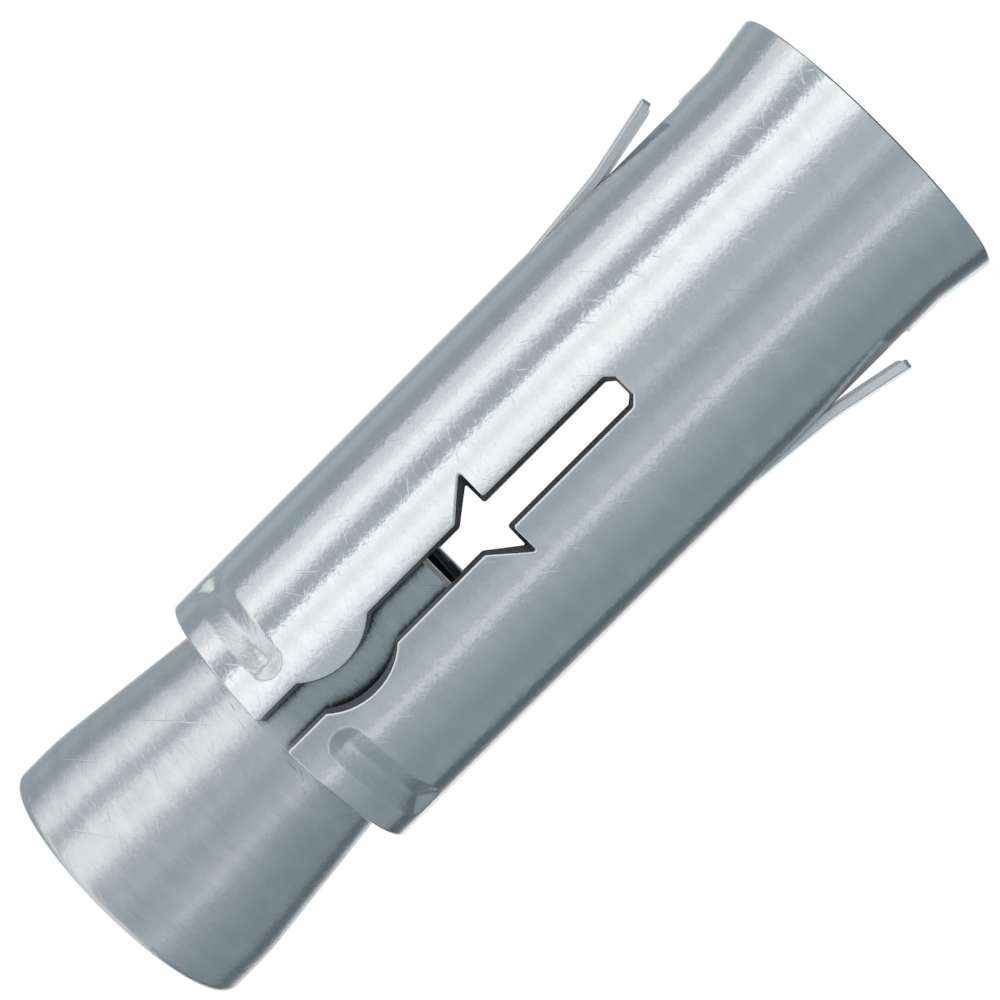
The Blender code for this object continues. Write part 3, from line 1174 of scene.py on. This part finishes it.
class Nodes:
    """Adds nodes to one node tree and joins them."""

    def __init__(self, tree: bpy.types.NodeTree) -> None:
        """Keeps the tree that the nodes go into."""
        self.tree = tree

    def add(self, kind: str, inputs: dict | None = None, **settings: object) -> bpy.types.Node:
        """Adds a node.

        Args:
            kind: The node's type.
            inputs: Values or sockets for its inputs, by name or number.
            settings: Its own settings.

        Returns:
            The new node.
        """
        node = self.tree.nodes.new(kind)
        for name, value in settings.items():
            setattr(node, name, value)
        for name, value in (inputs or {}).items():
            if isinstance(value, bpy.types.NodeSocket):
                self.tree.links.new(value, node.inputs[name])
            else:
                node.inputs[name].default_value = value
        return node

    def math(self, operation: str, *values: object) -> bpy.types.NodeSocket:
        """A Math node's result for these values."""
        return self.add("ShaderNodeMath", dict(enumerate(values)), operation=operation).outputs[0]

    def vector(self, operation: str, *values: object) -> bpy.types.NodeSocket:
        """A Vector Math node's vector result for these values."""
        return self.add("ShaderNodeVectorMath", dict(enumerate(values)), operation=operation).outputs[0]

    def scaled(self, vector: bpy.types.NodeSocket, factor: bpy.types.NodeSocket) -> bpy.types.NodeSocket:
        """A vector or colour times a factor."""
        return self.add("ShaderNodeVectorMath", {0: vector, "Scale": factor}, operation="SCALE").outputs[0]

    def noise(self, place: bpy.types.NodeSocket, scale: object, **inputs: float) -> bpy.types.NodeOutputs:
        """A Noise Texture node's outputs for a place, a scale and further inputs by name."""
        return self.add("ShaderNodeTexNoise", {"Vector": place, "Scale": scale, **inputs}).outputs

    def ramp(
        self, value: bpy.types.NodeSocket, start: float, end: float, low: float = 0.0, high: float = 1.0
    ) -> bpy.types.NodeSocket:
        """Spreads one stretch of a value over another, and holds it level outside.

        Args:
            value: The value.
            start: Where its stretch starts.
            end: Where it ends.
            low: The result at the start.
            high: The result at the end.

        Returns:
            The result.
        """
        stretch = {"From Min": start, "From Max": end, "To Min": low, "To Max": high}
        return self.add("ShaderNodeMapRange", {"Value": value, **stretch}).outputs[0]

    def bump(
        self,
        height: bpy.types.NodeSocket,
        distance: float,
        below: bpy.types.NodeSocket | None = None,
        **settings: bool,
    ) -> bpy.types.NodeSocket:
        """Turns a height into a normal.

        Args:
            height: The height, from 0 to 1.
            distance: How far 1 stands out.
            below: The normal of the relief that it lies on.
            settings: The Bump node's own settings.

        Returns:
            The normal.
        """
        inputs = {"Height": height, "Distance": distance}
        if below is not None:
            inputs["Normal"] = below
        return self.add("ShaderNodeBump", inputs, **settings).outputs[0]


def bare_material(name: str) -> tuple[bpy.types.Material, Nodes]:
    """Makes a material without nodes.

    Args:
        name: Its name.

    Returns:
        The material, and its nodes to add to.
    """
    material = bpy.data.materials.new(name)
    material.use_nodes = True
    material.node_tree.nodes.clear()
    return material, Nodes(material.node_tree)


class Effect(ABC):
    """A surface effect that several finishes share, as one node group."""

    name: str = ""
    takes: tuple[tuple[str, str], ...] = ()
    gives: tuple[str, ...] = ()

    def group(self) -> bpy.types.NodeTree:
        """Gives the effect's node group, which it makes the first time.

        Returns:
            The node group.
        """
        known = bpy.data.node_groups.get(self.name)
        if known:
            return known
        tree = bpy.data.node_groups.new(self.name, "ShaderNodeTree")
        for name, kind in self.takes:
            tree.interface.new_socket(name=name, in_out="INPUT", socket_type=kind)
        for name in self.gives:
            tree.interface.new_socket(name=name, in_out="OUTPUT", socket_type="NodeSocketFloat")
        nodes = Nodes(tree)
        entry = nodes.add("NodeGroupInput")
        results = self.wire(nodes, entry.outputs)
        nodes.add("NodeGroupOutput", dict(zip(self.gives, results)))
        return tree

    @abstractmethod
    def wire(self, nodes: Nodes, given: bpy.types.NodeOutputs) -> tuple:
        """Wires the group.

        Args:
            nodes: The group's nodes.
            given: The group's inputs.

        Returns:
            One socket for each of the group's outputs.
        """

    def use(self, nodes: Nodes, **values: object) -> bpy.types.NodeOutputs:
        """Places the effect in a material.

        Args:
            nodes: The material's nodes.
            values: The group's inputs, with underscores for spaces.

        Returns:
            The group's outputs.
        """
        node = nodes.add("ShaderNodeGroup", node_tree=self.group())
        for name, value in values.items():
            socket = node.inputs[name.replace("_", " ")]
            if isinstance(value, bpy.types.NodeSocket):
                nodes.tree.links.new(value, socket)
            else:
                socket.default_value = value
        return node.outputs


class RingGrain(Effect):
    """Fine marks that run round the piece, as drawing and tumbling leave them."""

    name = "ring_grain"
    takes = (
        ("Place", "NodeSocketVector"),
        ("Round", "NodeSocketFloat"),
        ("Along", "NodeSocketFloat"),
    )
    gives = ("Height", "Waves", "Streak")

    def wire(self, nodes: Nodes, given: bpy.types.NodeOutputs) -> tuple:
        """Stretches two noises round the axis, and leaves a third one broad.

        Args:
            nodes: The group's nodes.
            given: The group's inputs.

        Returns:
            The heights of the fine marks and of the slow waves, and the streaks of colour.
        """
        per_mm = {0: given["Round"], 1: given["Round"], 2: given["Along"]}
        stretch = nodes.add("ShaderNodeCombineXYZ", per_mm)
        fine_place = nodes.vector("MULTIPLY", given["Place"], stretch.outputs[0])
        fine = nodes.noise(fine_place, 1.0, Detail=2.0, Roughness=0.55)
        broad = nodes.noise(given["Place"], 0.33, Detail=1.0)
        band_place = nodes.vector("MULTIPLY", given["Place"], (0.35, 0.35, 1.5))
        band = nodes.noise(band_place, 1.0, Detail=3.0, Roughness=0.6)
        return fine[0], broad[0], band[0]


class HairScratches(Effect):
    """Thin single scratches in one main direction, each bent a little."""

    name = "hair_scratches"
    takes = (
        ("Wrap", "NodeSocketVector"),
        ("Turn", "NodeSocketFloat"),
        ("Length", "NodeSocketFloat"),
        ("Spacing", "NodeSocketFloat"),
        ("Width", "NodeSocketFloat"),
        ("Share", "NodeSocketFloat"),
        ("Bend", "NodeSocketFloat"),
    )
    gives = ("Line",)

    def wire(self, nodes: Nodes, given: bpy.types.NodeOutputs) -> tuple:
        """Puts at most one line into each cell of a turned and bent grid.

        Args:
            nodes: The group's nodes.
            given: The group's inputs.

        Returns:
            How deep a scratch is at each place, 0 where there is none.
        """
        # The unrolled surface, bent a little and turned to the scratches' direction.
        drift = nodes.noise(given["Wrap"], 0.17, Detail=0.0)
        centred = nodes.vector("SUBTRACT", drift[1], (0.5, 0.5, 0.5))
        moved = nodes.vector("ADD", given["Wrap"], nodes.scaled(centred, given["Bend"]))
        turned = nodes.add(
            "ShaderNodeVectorRotate", {"Vector": moved, "Angle": given["Turn"]}, rotation_type="Z_AXIS"
        )
        parts = nodes.add("ShaderNodeSeparateXYZ", {0: turned.outputs[0]})
        # The cell that each place lies in, and three random draws for that cell.
        along = nodes.math("DIVIDE", parts.outputs[0], given["Length"])
        across = nodes.math("DIVIDE", parts.outputs[1], given["Spacing"])
        row = nodes.math("FLOOR", across)
        shift = nodes.add("ShaderNodeTexWhiteNoise", {"W": row}, noise_dimensions="1D")
        along = nodes.math("ADD", along, shift.outputs[0])
        column = nodes.math("FLOOR", along)
        cell = nodes.add("ShaderNodeCombineXYZ", {0: column, 1: row})
        chance = nodes.add("ShaderNodeTexWhiteNoise", {"Vector": cell.outputs[0]}, noise_dimensions="2D")
        draw = nodes.add("ShaderNodeSeparateColor", {0: chance.outputs[1]})
        # The distance from the cell's line, which lies and leans as two of the draws say.
        share_along = nodes.math("FRACT", along)
        share_across = nodes.math("FRACT", across)
        middle = nodes.math("MULTIPLY_ADD", draw.outputs[0], 0.5, 0.25)
        lean = nodes.math("MULTIPLY", nodes.math("SUBTRACT", draw.outputs[1], 0.5), 0.5)
        run = nodes.math("SUBTRACT", share_along, 0.5)
        line = nodes.math("MULTIPLY_ADD", lean, run, middle)
        away = nodes.math("ABSOLUTE", nodes.math("SUBTRACT", share_across, line))
        away = nodes.math("MULTIPLY", away, given["Spacing"])
        depth = nodes.math("SUBTRACT", 1.0, nodes.math("DIVIDE", away, given["Width"]))
        depth = nodes.math("MAXIMUM", depth, 0.0)
        # The third draw says whether the line is there. It fades out towards both ends.
        shown = nodes.math("LESS_THAN", draw.outputs[2], given["Share"])
        reach = nodes.math("MULTIPLY_ADD", chance.outputs[0], 0.3, 0.16)
        fade = nodes.math("SUBTRACT", reach, nodes.math("ABSOLUTE", run))
        fade = nodes.math("MINIMUM", nodes.math("MAXIMUM", nodes.math("MULTIPLY", fade, 8.0), 0.0), 1.0)
        return (nodes.math("MULTIPLY", nodes.math("MULTIPLY", depth, shown), fade),)


class ZincClouds(Effect):
    """The slow change of tone over a zinc coat, and its small dull specks."""

    name = "zinc_clouds"
    takes = (("Place", "NodeSocketVector"), ("Size", "NodeSocketFloat"))
    gives = ("Cloud", "Speck")

    def wire(self, nodes: Nodes, given: bpy.types.NodeOutputs) -> tuple:
        """Layers a broad noise, and round specks in a few cells.

        Args:
            nodes: The group's nodes.
            given: The group's inputs.

        Returns:
            The clouds and the specks.
        """
        scale = nodes.math("DIVIDE", 1.0, given["Size"])
        cloud = nodes.noise(given["Place"], scale, Detail=4.0, Roughness=0.55)
        spots = nodes.add("ShaderNodeTexVoronoi", {"Vector": given["Place"], "Scale": 1.6})
        speck = nodes.ramp(spots.outputs["Distance"], 0.05, 0.12, low=1.0, high=0.0)
        drawn = nodes.add("ShaderNodeSeparateColor", {0: spots.outputs["Color"]})
        rare = nodes.math("LESS_THAN", drawn.outputs[0], 0.18)
        return cloud[0], nodes.math("MULTIPLY", speck, rare)


@dataclass(frozen=True)
class ZincFinish:
    """A zinc coat on steel.

    Args:
        name: The material's name.
        colour: Its main colour.
        second: The colour of its clouds.
        roughness: Its mean roughness.
        roughness_spread: How much the roughness changes over it.
        grain: The height of its fine marks.
        streak: How much its colour changes along the marks.
        waves: The height of its slow waves.
        scratch: The depth of its scratches.
        scratch_share: How many of the possible scratches are there, from 0 to 1.
        scratch_length: The longest scratches, in millimetres.
        metallic: How much of it mirrors as metal, the rest being dull.
        grain_round: How often the fine marks change in a millimetre round the piece.
        grain_along: How often they change in a millimetre along it.
        painted_shade_height: Up to where another piece covers it, in millimetres; below it painted shade
            darkens the colour.
        painted_shade_colour: The darker colour there, painted shade for the covering piece's shadow.
    """

    name: str
    colour: Colour
    second: Colour
    roughness: float
    roughness_spread: float
    grain: float
    streak: float
    waves: float
    scratch: float
    scratch_share: float
    scratch_length: float = 1.5
    metallic: float = 1.0
    grain_round: float = 2.8
    grain_along: float = 4.6
    painted_shade_height: float = 0.0
    painted_shade_colour: Colour = (0.4, 0.45, 0.48)

    def material(self) -> bpy.types.Material:
        """Makes the finish's material.

        Returns:
            The new material.
        """
        material = bpy.data.materials.new(self.name)
        material.use_nodes = True
        material.diffuse_color = (*self.colour, 1.0)
        nodes = Nodes(material.node_tree)
        shader = material.node_tree.nodes["Principled BSDF"]
        shader.inputs["Metallic"].default_value = self.metallic
        where = nodes.add("ShaderNodeTexCoord").outputs["Object"]
        place = nodes.vector("MULTIPLY", where, (1 / MM, 1 / MM, 1 / MM))
        wrap = nodes.add("ShaderNodeUVMap", uv_map=WRAP_MAP).outputs[0]
        clouds = ZincClouds().use(nodes, Place=place, Size=3.2)
        grain = RingGrain().use(nodes, Place=place, Round=self.grain_round, Along=self.grain_along)
        lines = self.scratch_lines(nodes, wrap)
        waves = nodes.bump(grain["Waves"], self.waves)
        marks = nodes.bump(grain["Height"], self.grain, waves)
        looks = {
            "Base Color": self.coat_colour(nodes, place, clouds["Cloud"], grain["Streak"]),
            "Roughness": self.coat_roughness(nodes, grain["Height"], clouds["Speck"], lines),
            "Normal": nodes.bump(lines, self.scratch, marks, invert=True),
        }
        for name, look in looks.items():
            nodes.tree.links.new(look, shader.inputs[name])
        return material

    def coat_colour(
        self,
        nodes: Nodes,
        place: bpy.types.NodeSocket,
        cloud: bpy.types.NodeSocket,
        streak: bpy.types.NodeSocket,
    ) -> bpy.types.NodeSocket:
        """Mixes the finish's colours.

        Args:
            nodes: The material's nodes.
            place: The place on the piece, in millimetres.
            cloud: The clouds.
            streak: The streaks.

        Returns:
            The colour at each place.
        """
        painted_shade_fade = 1.6
        tone = nodes.ramp(cloud, 0.3, 0.7)
        coat = nodes.add("ShaderNodeMix", {0: tone}, data_type="RGBA")
        coat.inputs[6].default_value = (*self.colour, 1.0)
        coat.inputs[7].default_value = (*self.second, 1.0)
        # Below the given height the coat fades into a darker colour: painted shade where another piece
        # covers it.
        height = nodes.add("ShaderNodeSeparateXYZ", {0: place}).outputs[2]
        free = nodes.ramp(height, self.painted_shade_height - painted_shade_fade, self.painted_shade_height)
        painted_shade_mix = nodes.add("ShaderNodeMix", {0: free, 7: coat.outputs[2]}, data_type="RGBA")
        painted_shade_mix.inputs[6].default_value = (*self.painted_shade_colour, 1.0)
        shade = nodes.math("MULTIPLY_ADD", streak, self.streak, 1.0 - self.streak / 2)
        return nodes.scaled(painted_shade_mix.outputs[2], shade)

    def coat_roughness(
        self,
        nodes: Nodes,
        grain: bpy.types.NodeSocket,
        speck: bpy.types.NodeSocket,
        lines: bpy.types.NodeSocket,
    ) -> bpy.types.NodeSocket:
        """Spreads the finish's roughness.

        Args:
            nodes: The material's nodes.
            grain: The height of the fine marks.
            speck: The dull specks.
            lines: The scratches.

        Returns:
            The roughness at each place.
        """
        speck_roughness = 0.12
        scratch_roughness = 0.1
        smoothest = self.roughness - self.roughness_spread / 2
        rough = nodes.math("MULTIPLY_ADD", grain, self.roughness_spread, smoothest)
        rough = nodes.math("MULTIPLY_ADD", speck, speck_roughness, rough)
        return nodes.math("MULTIPLY_ADD", lines, scratch_roughness, rough)

    def scratch_lines(self, nodes: Nodes, wrap: bpy.types.NodeSocket) -> bpy.types.NodeSocket:
        """Draws the finish's scratches in three directions.

        Args:
            nodes: The material's nodes.
            wrap: The place on the unrolled surface, in millimetres.

        Returns:
            One mask of all scratches.
        """
        share = self.scratch_share
        hairs = HairScratches()
        ringed = hairs.use(
            nodes, Wrap=wrap, Turn=0.12, Length=1.1, Spacing=0.4, Width=0.03, Share=share, Bend=0.4
        )["Line"]
        slanted = hairs.use(
            nodes,
            Wrap=wrap,
            Turn=-0.62,
            Length=self.scratch_length,
            Spacing=1.3,
            Width=0.035,
            Share=share * 0.6,
            Bend=0.35,
        )["Line"]
        leaning = hairs.use(
            nodes, Wrap=wrap, Turn=0.4, Length=1.4, Spacing=0.9, Width=0.03, Share=share * 0.5, Bend=0.35
        )["Line"]
        return nodes.math("MAXIMUM", ringed, nodes.math("MAXIMUM", slanted, leaning))


@dataclass
class ExpansionSleeve:
    """The slotted sleeve with its two tongues.

    Args:
        body: The CAD body that it moves with.
        node: The CAD node that it stands for.
        slot: The record's material slot; not used.
        pieces: The wall and the tongues, once they are built.
    """

    body: str = "sleeve"
    node: str = "expansion_sleeve"
    slot: str = "sleeve_zinc"
    pieces: list[bpy.types.Object] = field(default_factory=list)

    def build(self) -> None:
        """Builds the wall and the tongues to the solid's own sizes."""
        _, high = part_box(self.node)
        wall = SleeveWall(length=high.z, rim_radius=high.y)
        shape = Shape()
        wall.add_to(shape)
        self.pieces.append(shape.to_object("sleeve_wall"))
        for leg in Leg:
            tongue = GripTongue(
                edge_radius=0.07 * MM,
                leg=leg,
                radius=wall.radius,
                reach=high.x,
                root_height=wall.pocket_root,
            )
            shape = Shape()
            tongue.add_to(shape)
            self.pieces.append(shape.to_object(f"tongue_{leg.name.lower()}"))

    def dress(self) -> None:
        """Gives the wall's regions and the tongues their finishes."""
        skin = ZincFinish(
            name="sleeve_zinc_skin",
            colour=(0.635, 0.665, 0.695),
            second=(0.61, 0.645, 0.672),
            roughness=0.14,
            roughness_spread=0.07,
            grain=0.012 * MM,
            streak=0.18,
            waves=0.007 * MM,
            scratch=0.0038 * MM,
            scratch_share=0.55,
        ).material()
        pressed = ZincFinish(
            name="sleeve_zinc_pressed",
            colour=(0.625, 0.655, 0.685),
            second=(0.59, 0.625, 0.652),
            roughness=0.25,
            roughness_spread=0.08,
            grain=0.02 * MM,
            streak=0.16,
            waves=0.02 * MM,
            scratch=0.003 * MM,
            scratch_share=0.2,
        ).material()
        # The cut walls are dark grey partly as the rough cut's own dull tone, partly as painted shade of
        # the narrow slots.
        cut = ZincFinish(
            name="sleeve_zinc_cut_painted_shade",
            colour=(0.27, 0.285, 0.3),
            second=(0.22, 0.235, 0.25),
            roughness=0.5,
            roughness_spread=0.1,
            grain=0.006 * MM,
            streak=0.1,
            waves=0.004 * MM,
            scratch=0.003 * MM,
            scratch_share=0.2,
            metallic=0.6,
        ).material()
        skived = ZincFinish(
            name="tongue_zinc_edge",
            colour=(0.66, 0.69, 0.72),
            second=(0.61, 0.64, 0.67),
            roughness=0.35,
            roughness_spread=0.1,
            grain=0.008 * MM,
            streak=0.12,
            waves=0.004 * MM,
            scratch=0.003 * MM,
            scratch_share=0.2,
            metallic=0.55,
        ).material()
        bore = ZincFinish(
            name="sleeve_zinc_bore",
            colour=(0.52, 0.55, 0.58),
            second=(0.47, 0.5, 0.53),
            roughness=0.28,
            roughness_spread=0.06,
            grain=0.008 * MM,
            streak=0.1,
            waves=0.005 * MM,
            scratch=0.003 * MM,
            scratch_share=0.2,
        ).material()
        wall, *tongues = self.pieces
        for finish in (skin, cut, bore, pressed, skived):
            wall.data.materials.append(finish)
        for tongue in tongues:
            for finish in (skin, skived, skived):
                tongue.data.materials.append(finish)

    def mount(self) -> None:
        """Ties the pieces to their body, and hides the node's solid."""
        for piece in self.pieces:
            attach(piece, self.body)
        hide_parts(self.node)


@dataclass
class ConeNut:
    """The cone nut.

    Args:
        body: The CAD body that it moves with.
        node: The CAD node that it stands for.
        slot: The record's material slot; not used.
        pieces: The turned piece, once it is built.
    """

    body: str = "cone"
    node: str = "cone_nut"
    slot: str = "cone_zinc"
    pieces: list[bpy.types.Object] = field(default_factory=list)

    def build(self) -> None:
        """Builds the turned piece to the solid's own sizes."""
        low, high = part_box(self.node)
        cone = ConeShape(foot=low.z, top=high.z, wide_radius=high.x)
        shape = Shape()
        cone.add_outside(shape)
        cone.add_bore(shape)
        self.pieces.append(shape.to_object("cone_turned"))

    def dress(self) -> None:
        """Gives the nut's outside, its foot and its thread their finishes."""
        skin = ZincFinish(
            name="cone_zinc_skin",
            colour=(0.575, 0.605, 0.635),
            second=(0.535, 0.57, 0.595),
            roughness=0.26,
            roughness_spread=0.12,
            grain=0.018 * MM,
            streak=0.3,
            waves=0.022 * MM,
            scratch=0.0065 * MM,
            scratch_share=0.42,
            scratch_length=5.0,
            grain_round=1.5,
            grain_along=4.8,
            # The outside is painted darker below the sleeve's mouth: painted shade, and the darker part
            # moves with the nut.
            painted_shade_height=40.2,
            painted_shade_colour=(0.34, 0.4, 0.435),
        ).material()
        faced = ZincFinish(
            name="cone_zinc_face",
            colour=(0.68, 0.73, 0.77),
            second=(0.64, 0.69, 0.73),
            roughness=0.4,
            roughness_spread=0.1,
            grain=0.01 * MM,
            streak=0.1,
            waves=0.003 * MM,
            scratch=0.002 * MM,
            scratch_share=0.1,
            metallic=0.35,
        ).material()
        # The thread is painted almost black: painted shade of the deep bore.
        thread = ZincFinish(
            name="cone_zinc_thread_painted_shade",
            colour=(0.2, 0.21, 0.22),
            second=(0.17, 0.18, 0.19),
            roughness=0.45,
            roughness_spread=0.08,
            grain=0.003 * MM,
            streak=0.06,
            waves=0.002 * MM,
            scratch=0.002 * MM,
            scratch_share=0.1,
        ).material()
        for piece in self.pieces:
            for finish in (skin, faced, thread):
                piece.data.materials.append(finish)

    def mount(self) -> None:
        """Ties the piece to its body, and hides the node's solid."""
        for piece in self.pieces:
            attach(piece, self.body)
            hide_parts(self.node)


@dataclass(frozen=True)
class LightStop:
    """The light at one bearing of the light tent.

    Args:
        bearing: The bearing, in degrees.
        level: The light there, where 1 is white.
    """

    bearing: float
    level: float

    @property
    def colour(self) -> Colour:
        """Tints the light, bluish where it is dim and warmer where it is bright.

        Returns:
            Its red, green and blue.
        """
        levels = (0.4, 0.56, 1.2)
        red = float(np.interp(self.level, levels, (0.855, 0.92, 1.03)))
        blue = float(np.interp(self.level, levels, (1.08, 1.03, 0.965)))
        return (self.level * red, self.level, self.level * blue)


@dataclass
class Studio:
    """The white room, the light tent and the camera.

    Args:
        tent_radius: The distance of the tent's wall from the anchor's axis.
        tent_low: The height of its lower edge.
        tent_high: The height of its upper edge.
        floor_size: Half the width of the floor.
        lens: The camera's focal length, in millimetres.
        eye: Where the camera stands.
        aim: The point at the middle of its image.
    """

    tent_radius: float = 0.25
    tent_low: float = -0.3
    tent_high: float = 0.52
    floor_size: float = 1.5
    lens: float = 107.0
    eye: tuple[float, float, float] = (-0.0001, -0.1456, 0.01775)
    aim: tuple[float, float, float] = (0.00035, 0.0, 0.02495)

    def left_stops(self) -> list[LightStop]:
        """Lists the tent's light from the left edge to the front.

        Returns:
            The light at each bearing, in order.
        """
        stops = (
            (-152.0, 0.4), (-145.0, 0.25), (-139.0, 0.17), (-128.0, 0.16), (-124.5, 0.36), (-114.0, 0.4),
            (-99.0, 0.39), (-87.0, 0.41), (-81.0, 0.445), (-72.0, 0.475), (-61.0, 0.52), (-56.0, 0.55),
            (-52.0, 0.76), (-48.0, 0.96), (-45.5, 0.86), (-43.5, 0.665), (-34.0, 0.665), (-29.0, 0.6),
            (-25.0, 0.54), (-18.0, 0.52), (-11.5, 0.65), (-8.0, 0.75), (-5.0, 0.75), (-3.5, 0.65),
        )
        return [LightStop(bearing, level) for bearing, level in stops]

    def right_stops(self) -> list[LightStop]:
        """Lists the tent's light from the front to the right edge.

        Returns:
            The light at each bearing, in order.
        """
        stops = (
            (4.0, 0.64), (12.0, 0.65), (16.0, 0.77), (20.0, 1.07), (24.5, 1.33), (29.0, 1.36),
            (33.0, 1.43), (37.5, 1.2), (42.0, 1.17), (46.0, 1.34), (51.5, 1.52), (54.0, 0.6),
            (57.0, 0.56), (62.0, 0.55), (66.0, 0.64), (70.0, 0.95), (75.0, 1.27), (81.0, 1.36),
            (86.0, 1.12), (92.0, 0.93), (100.5, 0.93), (104.0, 0.47), (121.0, 0.46), (126.0, 0.55),
            (134.0, 0.56), (143.0, 0.47), (155.0, 0.5), (163.0, 0.62),
        )
        return [LightStop(bearing, level) for bearing, level in stops]

    def hang_tent(self) -> None:
        """Makes the tent's wall, which lights the anchor in upright bands."""
        stops = self.left_stops() + self.right_stops()
        bearings = [stop.bearing for stop in stops]
        column_step = 2.0
        even = np.arange(bearings[0], bearings[-1], column_step).tolist()
        columns = np.array(sorted(set(bearings) | set(even)))
        colours = np.array([stop.colour for stop in stops])
        light = np.column_stack([np.interp(columns, bearings, colours[:, part]) for part in range(3)])
        angle = np.radians(columns)
        wall = np.column_stack((self.tent_radius * np.sin(angle), -self.tent_radius * np.cos(angle)))
        verts = [(x, y, height) for x, y in wall.tolist() for height in (self.tent_low, self.tent_high)]
        faces = [(2 * k, 2 * k + 1, 2 * k + 3, 2 * k + 2) for k in range(len(columns) - 1)]
        mesh = bpy.data.meshes.new("light_tent")
        mesh.from_pydata(verts, [], faces)
        store = mesh.attributes.new(LIGHT_STORE, "FLOAT_COLOR", "POINT")
        full = np.column_stack((np.repeat(light, 2, axis=0), np.ones(len(verts))))
        store.data.foreach_set("color", full.astype(np.float32).ravel())
        material, nodes = bare_material("tent_light")
        colour = nodes.add("ShaderNodeAttribute", attribute_name=LIGHT_STORE).outputs["Color"]
        glow = nodes.add("ShaderNodeEmission", {"Color": colour, "Strength": 1.0})
        nodes.add("ShaderNodeOutputMaterial", {"Surface": glow.outputs[0]})
        mesh.materials.append(material)
        hung = into_scene(mesh.name, mesh)
        hung.visible_camera = False

    def close_tent(self) -> None:
        """Makes the dark card that closes the tent from below, so that lower edges look dark."""
        count = 32
        turn = [2 * math.pi * step / count for step in range(count)]
        reach = self.tent_radius * 1.2
        mesh = bpy.data.meshes.new("card_below")
        verts = [(reach * math.cos(angle), reach * math.sin(angle), self.tent_low) for angle in turn]
        mesh.from_pydata(verts, [], [tuple(range(count))])
        material, nodes = bare_material("card_light_below")
        light = nodes.add("ShaderNodeEmission", {"Color": (0.09, 0.095, 0.1, 1.0), "Strength": 1.0})
        nodes.add("ShaderNodeOutputMaterial", {"Surface": light.outputs[0]})
        mesh.materials.append(material)
        hung = into_scene(mesh.name, mesh)
        hung.visible_camera = False

    def lay_floor(self) -> None:
        """Makes the white floor, which keeps a faint shadow of the anchor."""
        size = self.floor_size
        mesh = bpy.data.meshes.new("floor")
        corners = [(-size, -size, 0.0), (size, -size, 0.0), (size, size, 0.0), (-size, size, 0.0)]
        mesh.from_pydata(corners, [], [(0, 1, 2, 3)])
        material, nodes = bare_material("white_floor")
        rays = nodes.add("ShaderNodeLightPath").outputs
        seen = nodes.math("MAXIMUM", rays["Is Camera Ray"], rays["Is Glossy Ray"])
        seen = nodes.math("MAXIMUM", seen, rays["Is Transmission Ray"])
        share = nodes.math("MULTIPLY", seen, 0.93)
        matt = nodes.add("ShaderNodeBsdfDiffuse", {"Color": (0.9, 0.9, 0.9, 1.0)})
        white = nodes.add("ShaderNodeEmission", {"Color": (1.0, 1.0, 1.0, 1.0), "Strength": 1.03})
        mixed = nodes.add("ShaderNodeMixShader", {0: share, 1: matt.outputs[0], 2: white.outputs[0]})
        nodes.add("ShaderNodeOutputMaterial", {"Surface": mixed.outputs[0]})
        mesh.materials.append(material)
        floor = into_scene("floor", mesh)
        floor.visible_glossy = False

    def light_world(self) -> None:
        """Makes the world plain white."""
        world = bpy.data.worlds.new("white_room")
        world.use_nodes = True
        background = world.node_tree.nodes["Background"]
        background.inputs["Color"].default_value = (1.0, 1.0, 1.0, 1.0)
        background.inputs["Strength"].default_value = 1.0
        bpy.context.scene.world = world
        bpy.context.scene.view_settings.view_transform = "Standard"

    def set_camera(self) -> None:
        """Sets the camera up, rolled so that the anchor lies corner to corner."""
        eye = Vector(self.eye)
        ahead = (Vector(self.aim) - eye).normalized()
        sideways = ahead.cross(Vector((0.0, 0.0, 1.0))).normalized()
        down = ahead.cross(sideways)
        up = (down + sideways).normalized()
        right = ahead.cross(up).normalized()
        data = bpy.data.cameras.new("camera")
        data.lens = self.lens
        data.sensor_width = 36.0
        data.clip_start = 0.01
        camera = into_scene("camera", data)
        turn = Matrix((right, up, -ahead)).transposed().to_4x4()
        camera.matrix_world = Matrix.Translation(eye) @ turn
        bpy.context.scene.camera = camera

    def build(self) -> None:
        """Sets the whole studio up."""
        self.light_world()
        self.lay_floor()
        self.hang_tent()
        self.close_tent()
        self.set_camera()


def main() -> None:
    """Builds the anchor's looks and the studio around it."""
    logging.basicConfig(level=logging.INFO, format="%(name)s: %(message)s")
    for assembly in (ExpansionSleeve(), ConeNut()):
        assembly.build()
        assembly.dress()
        assembly.mount()
        for piece in assembly.pieces:
            LOG.info("%s rides on %s, %d triangles", piece.name, assembly.body, len(piece.data.polygons))
    Studio().build()
    LOG.info("studio is set up")


if __name__ == "__main__":
    main()
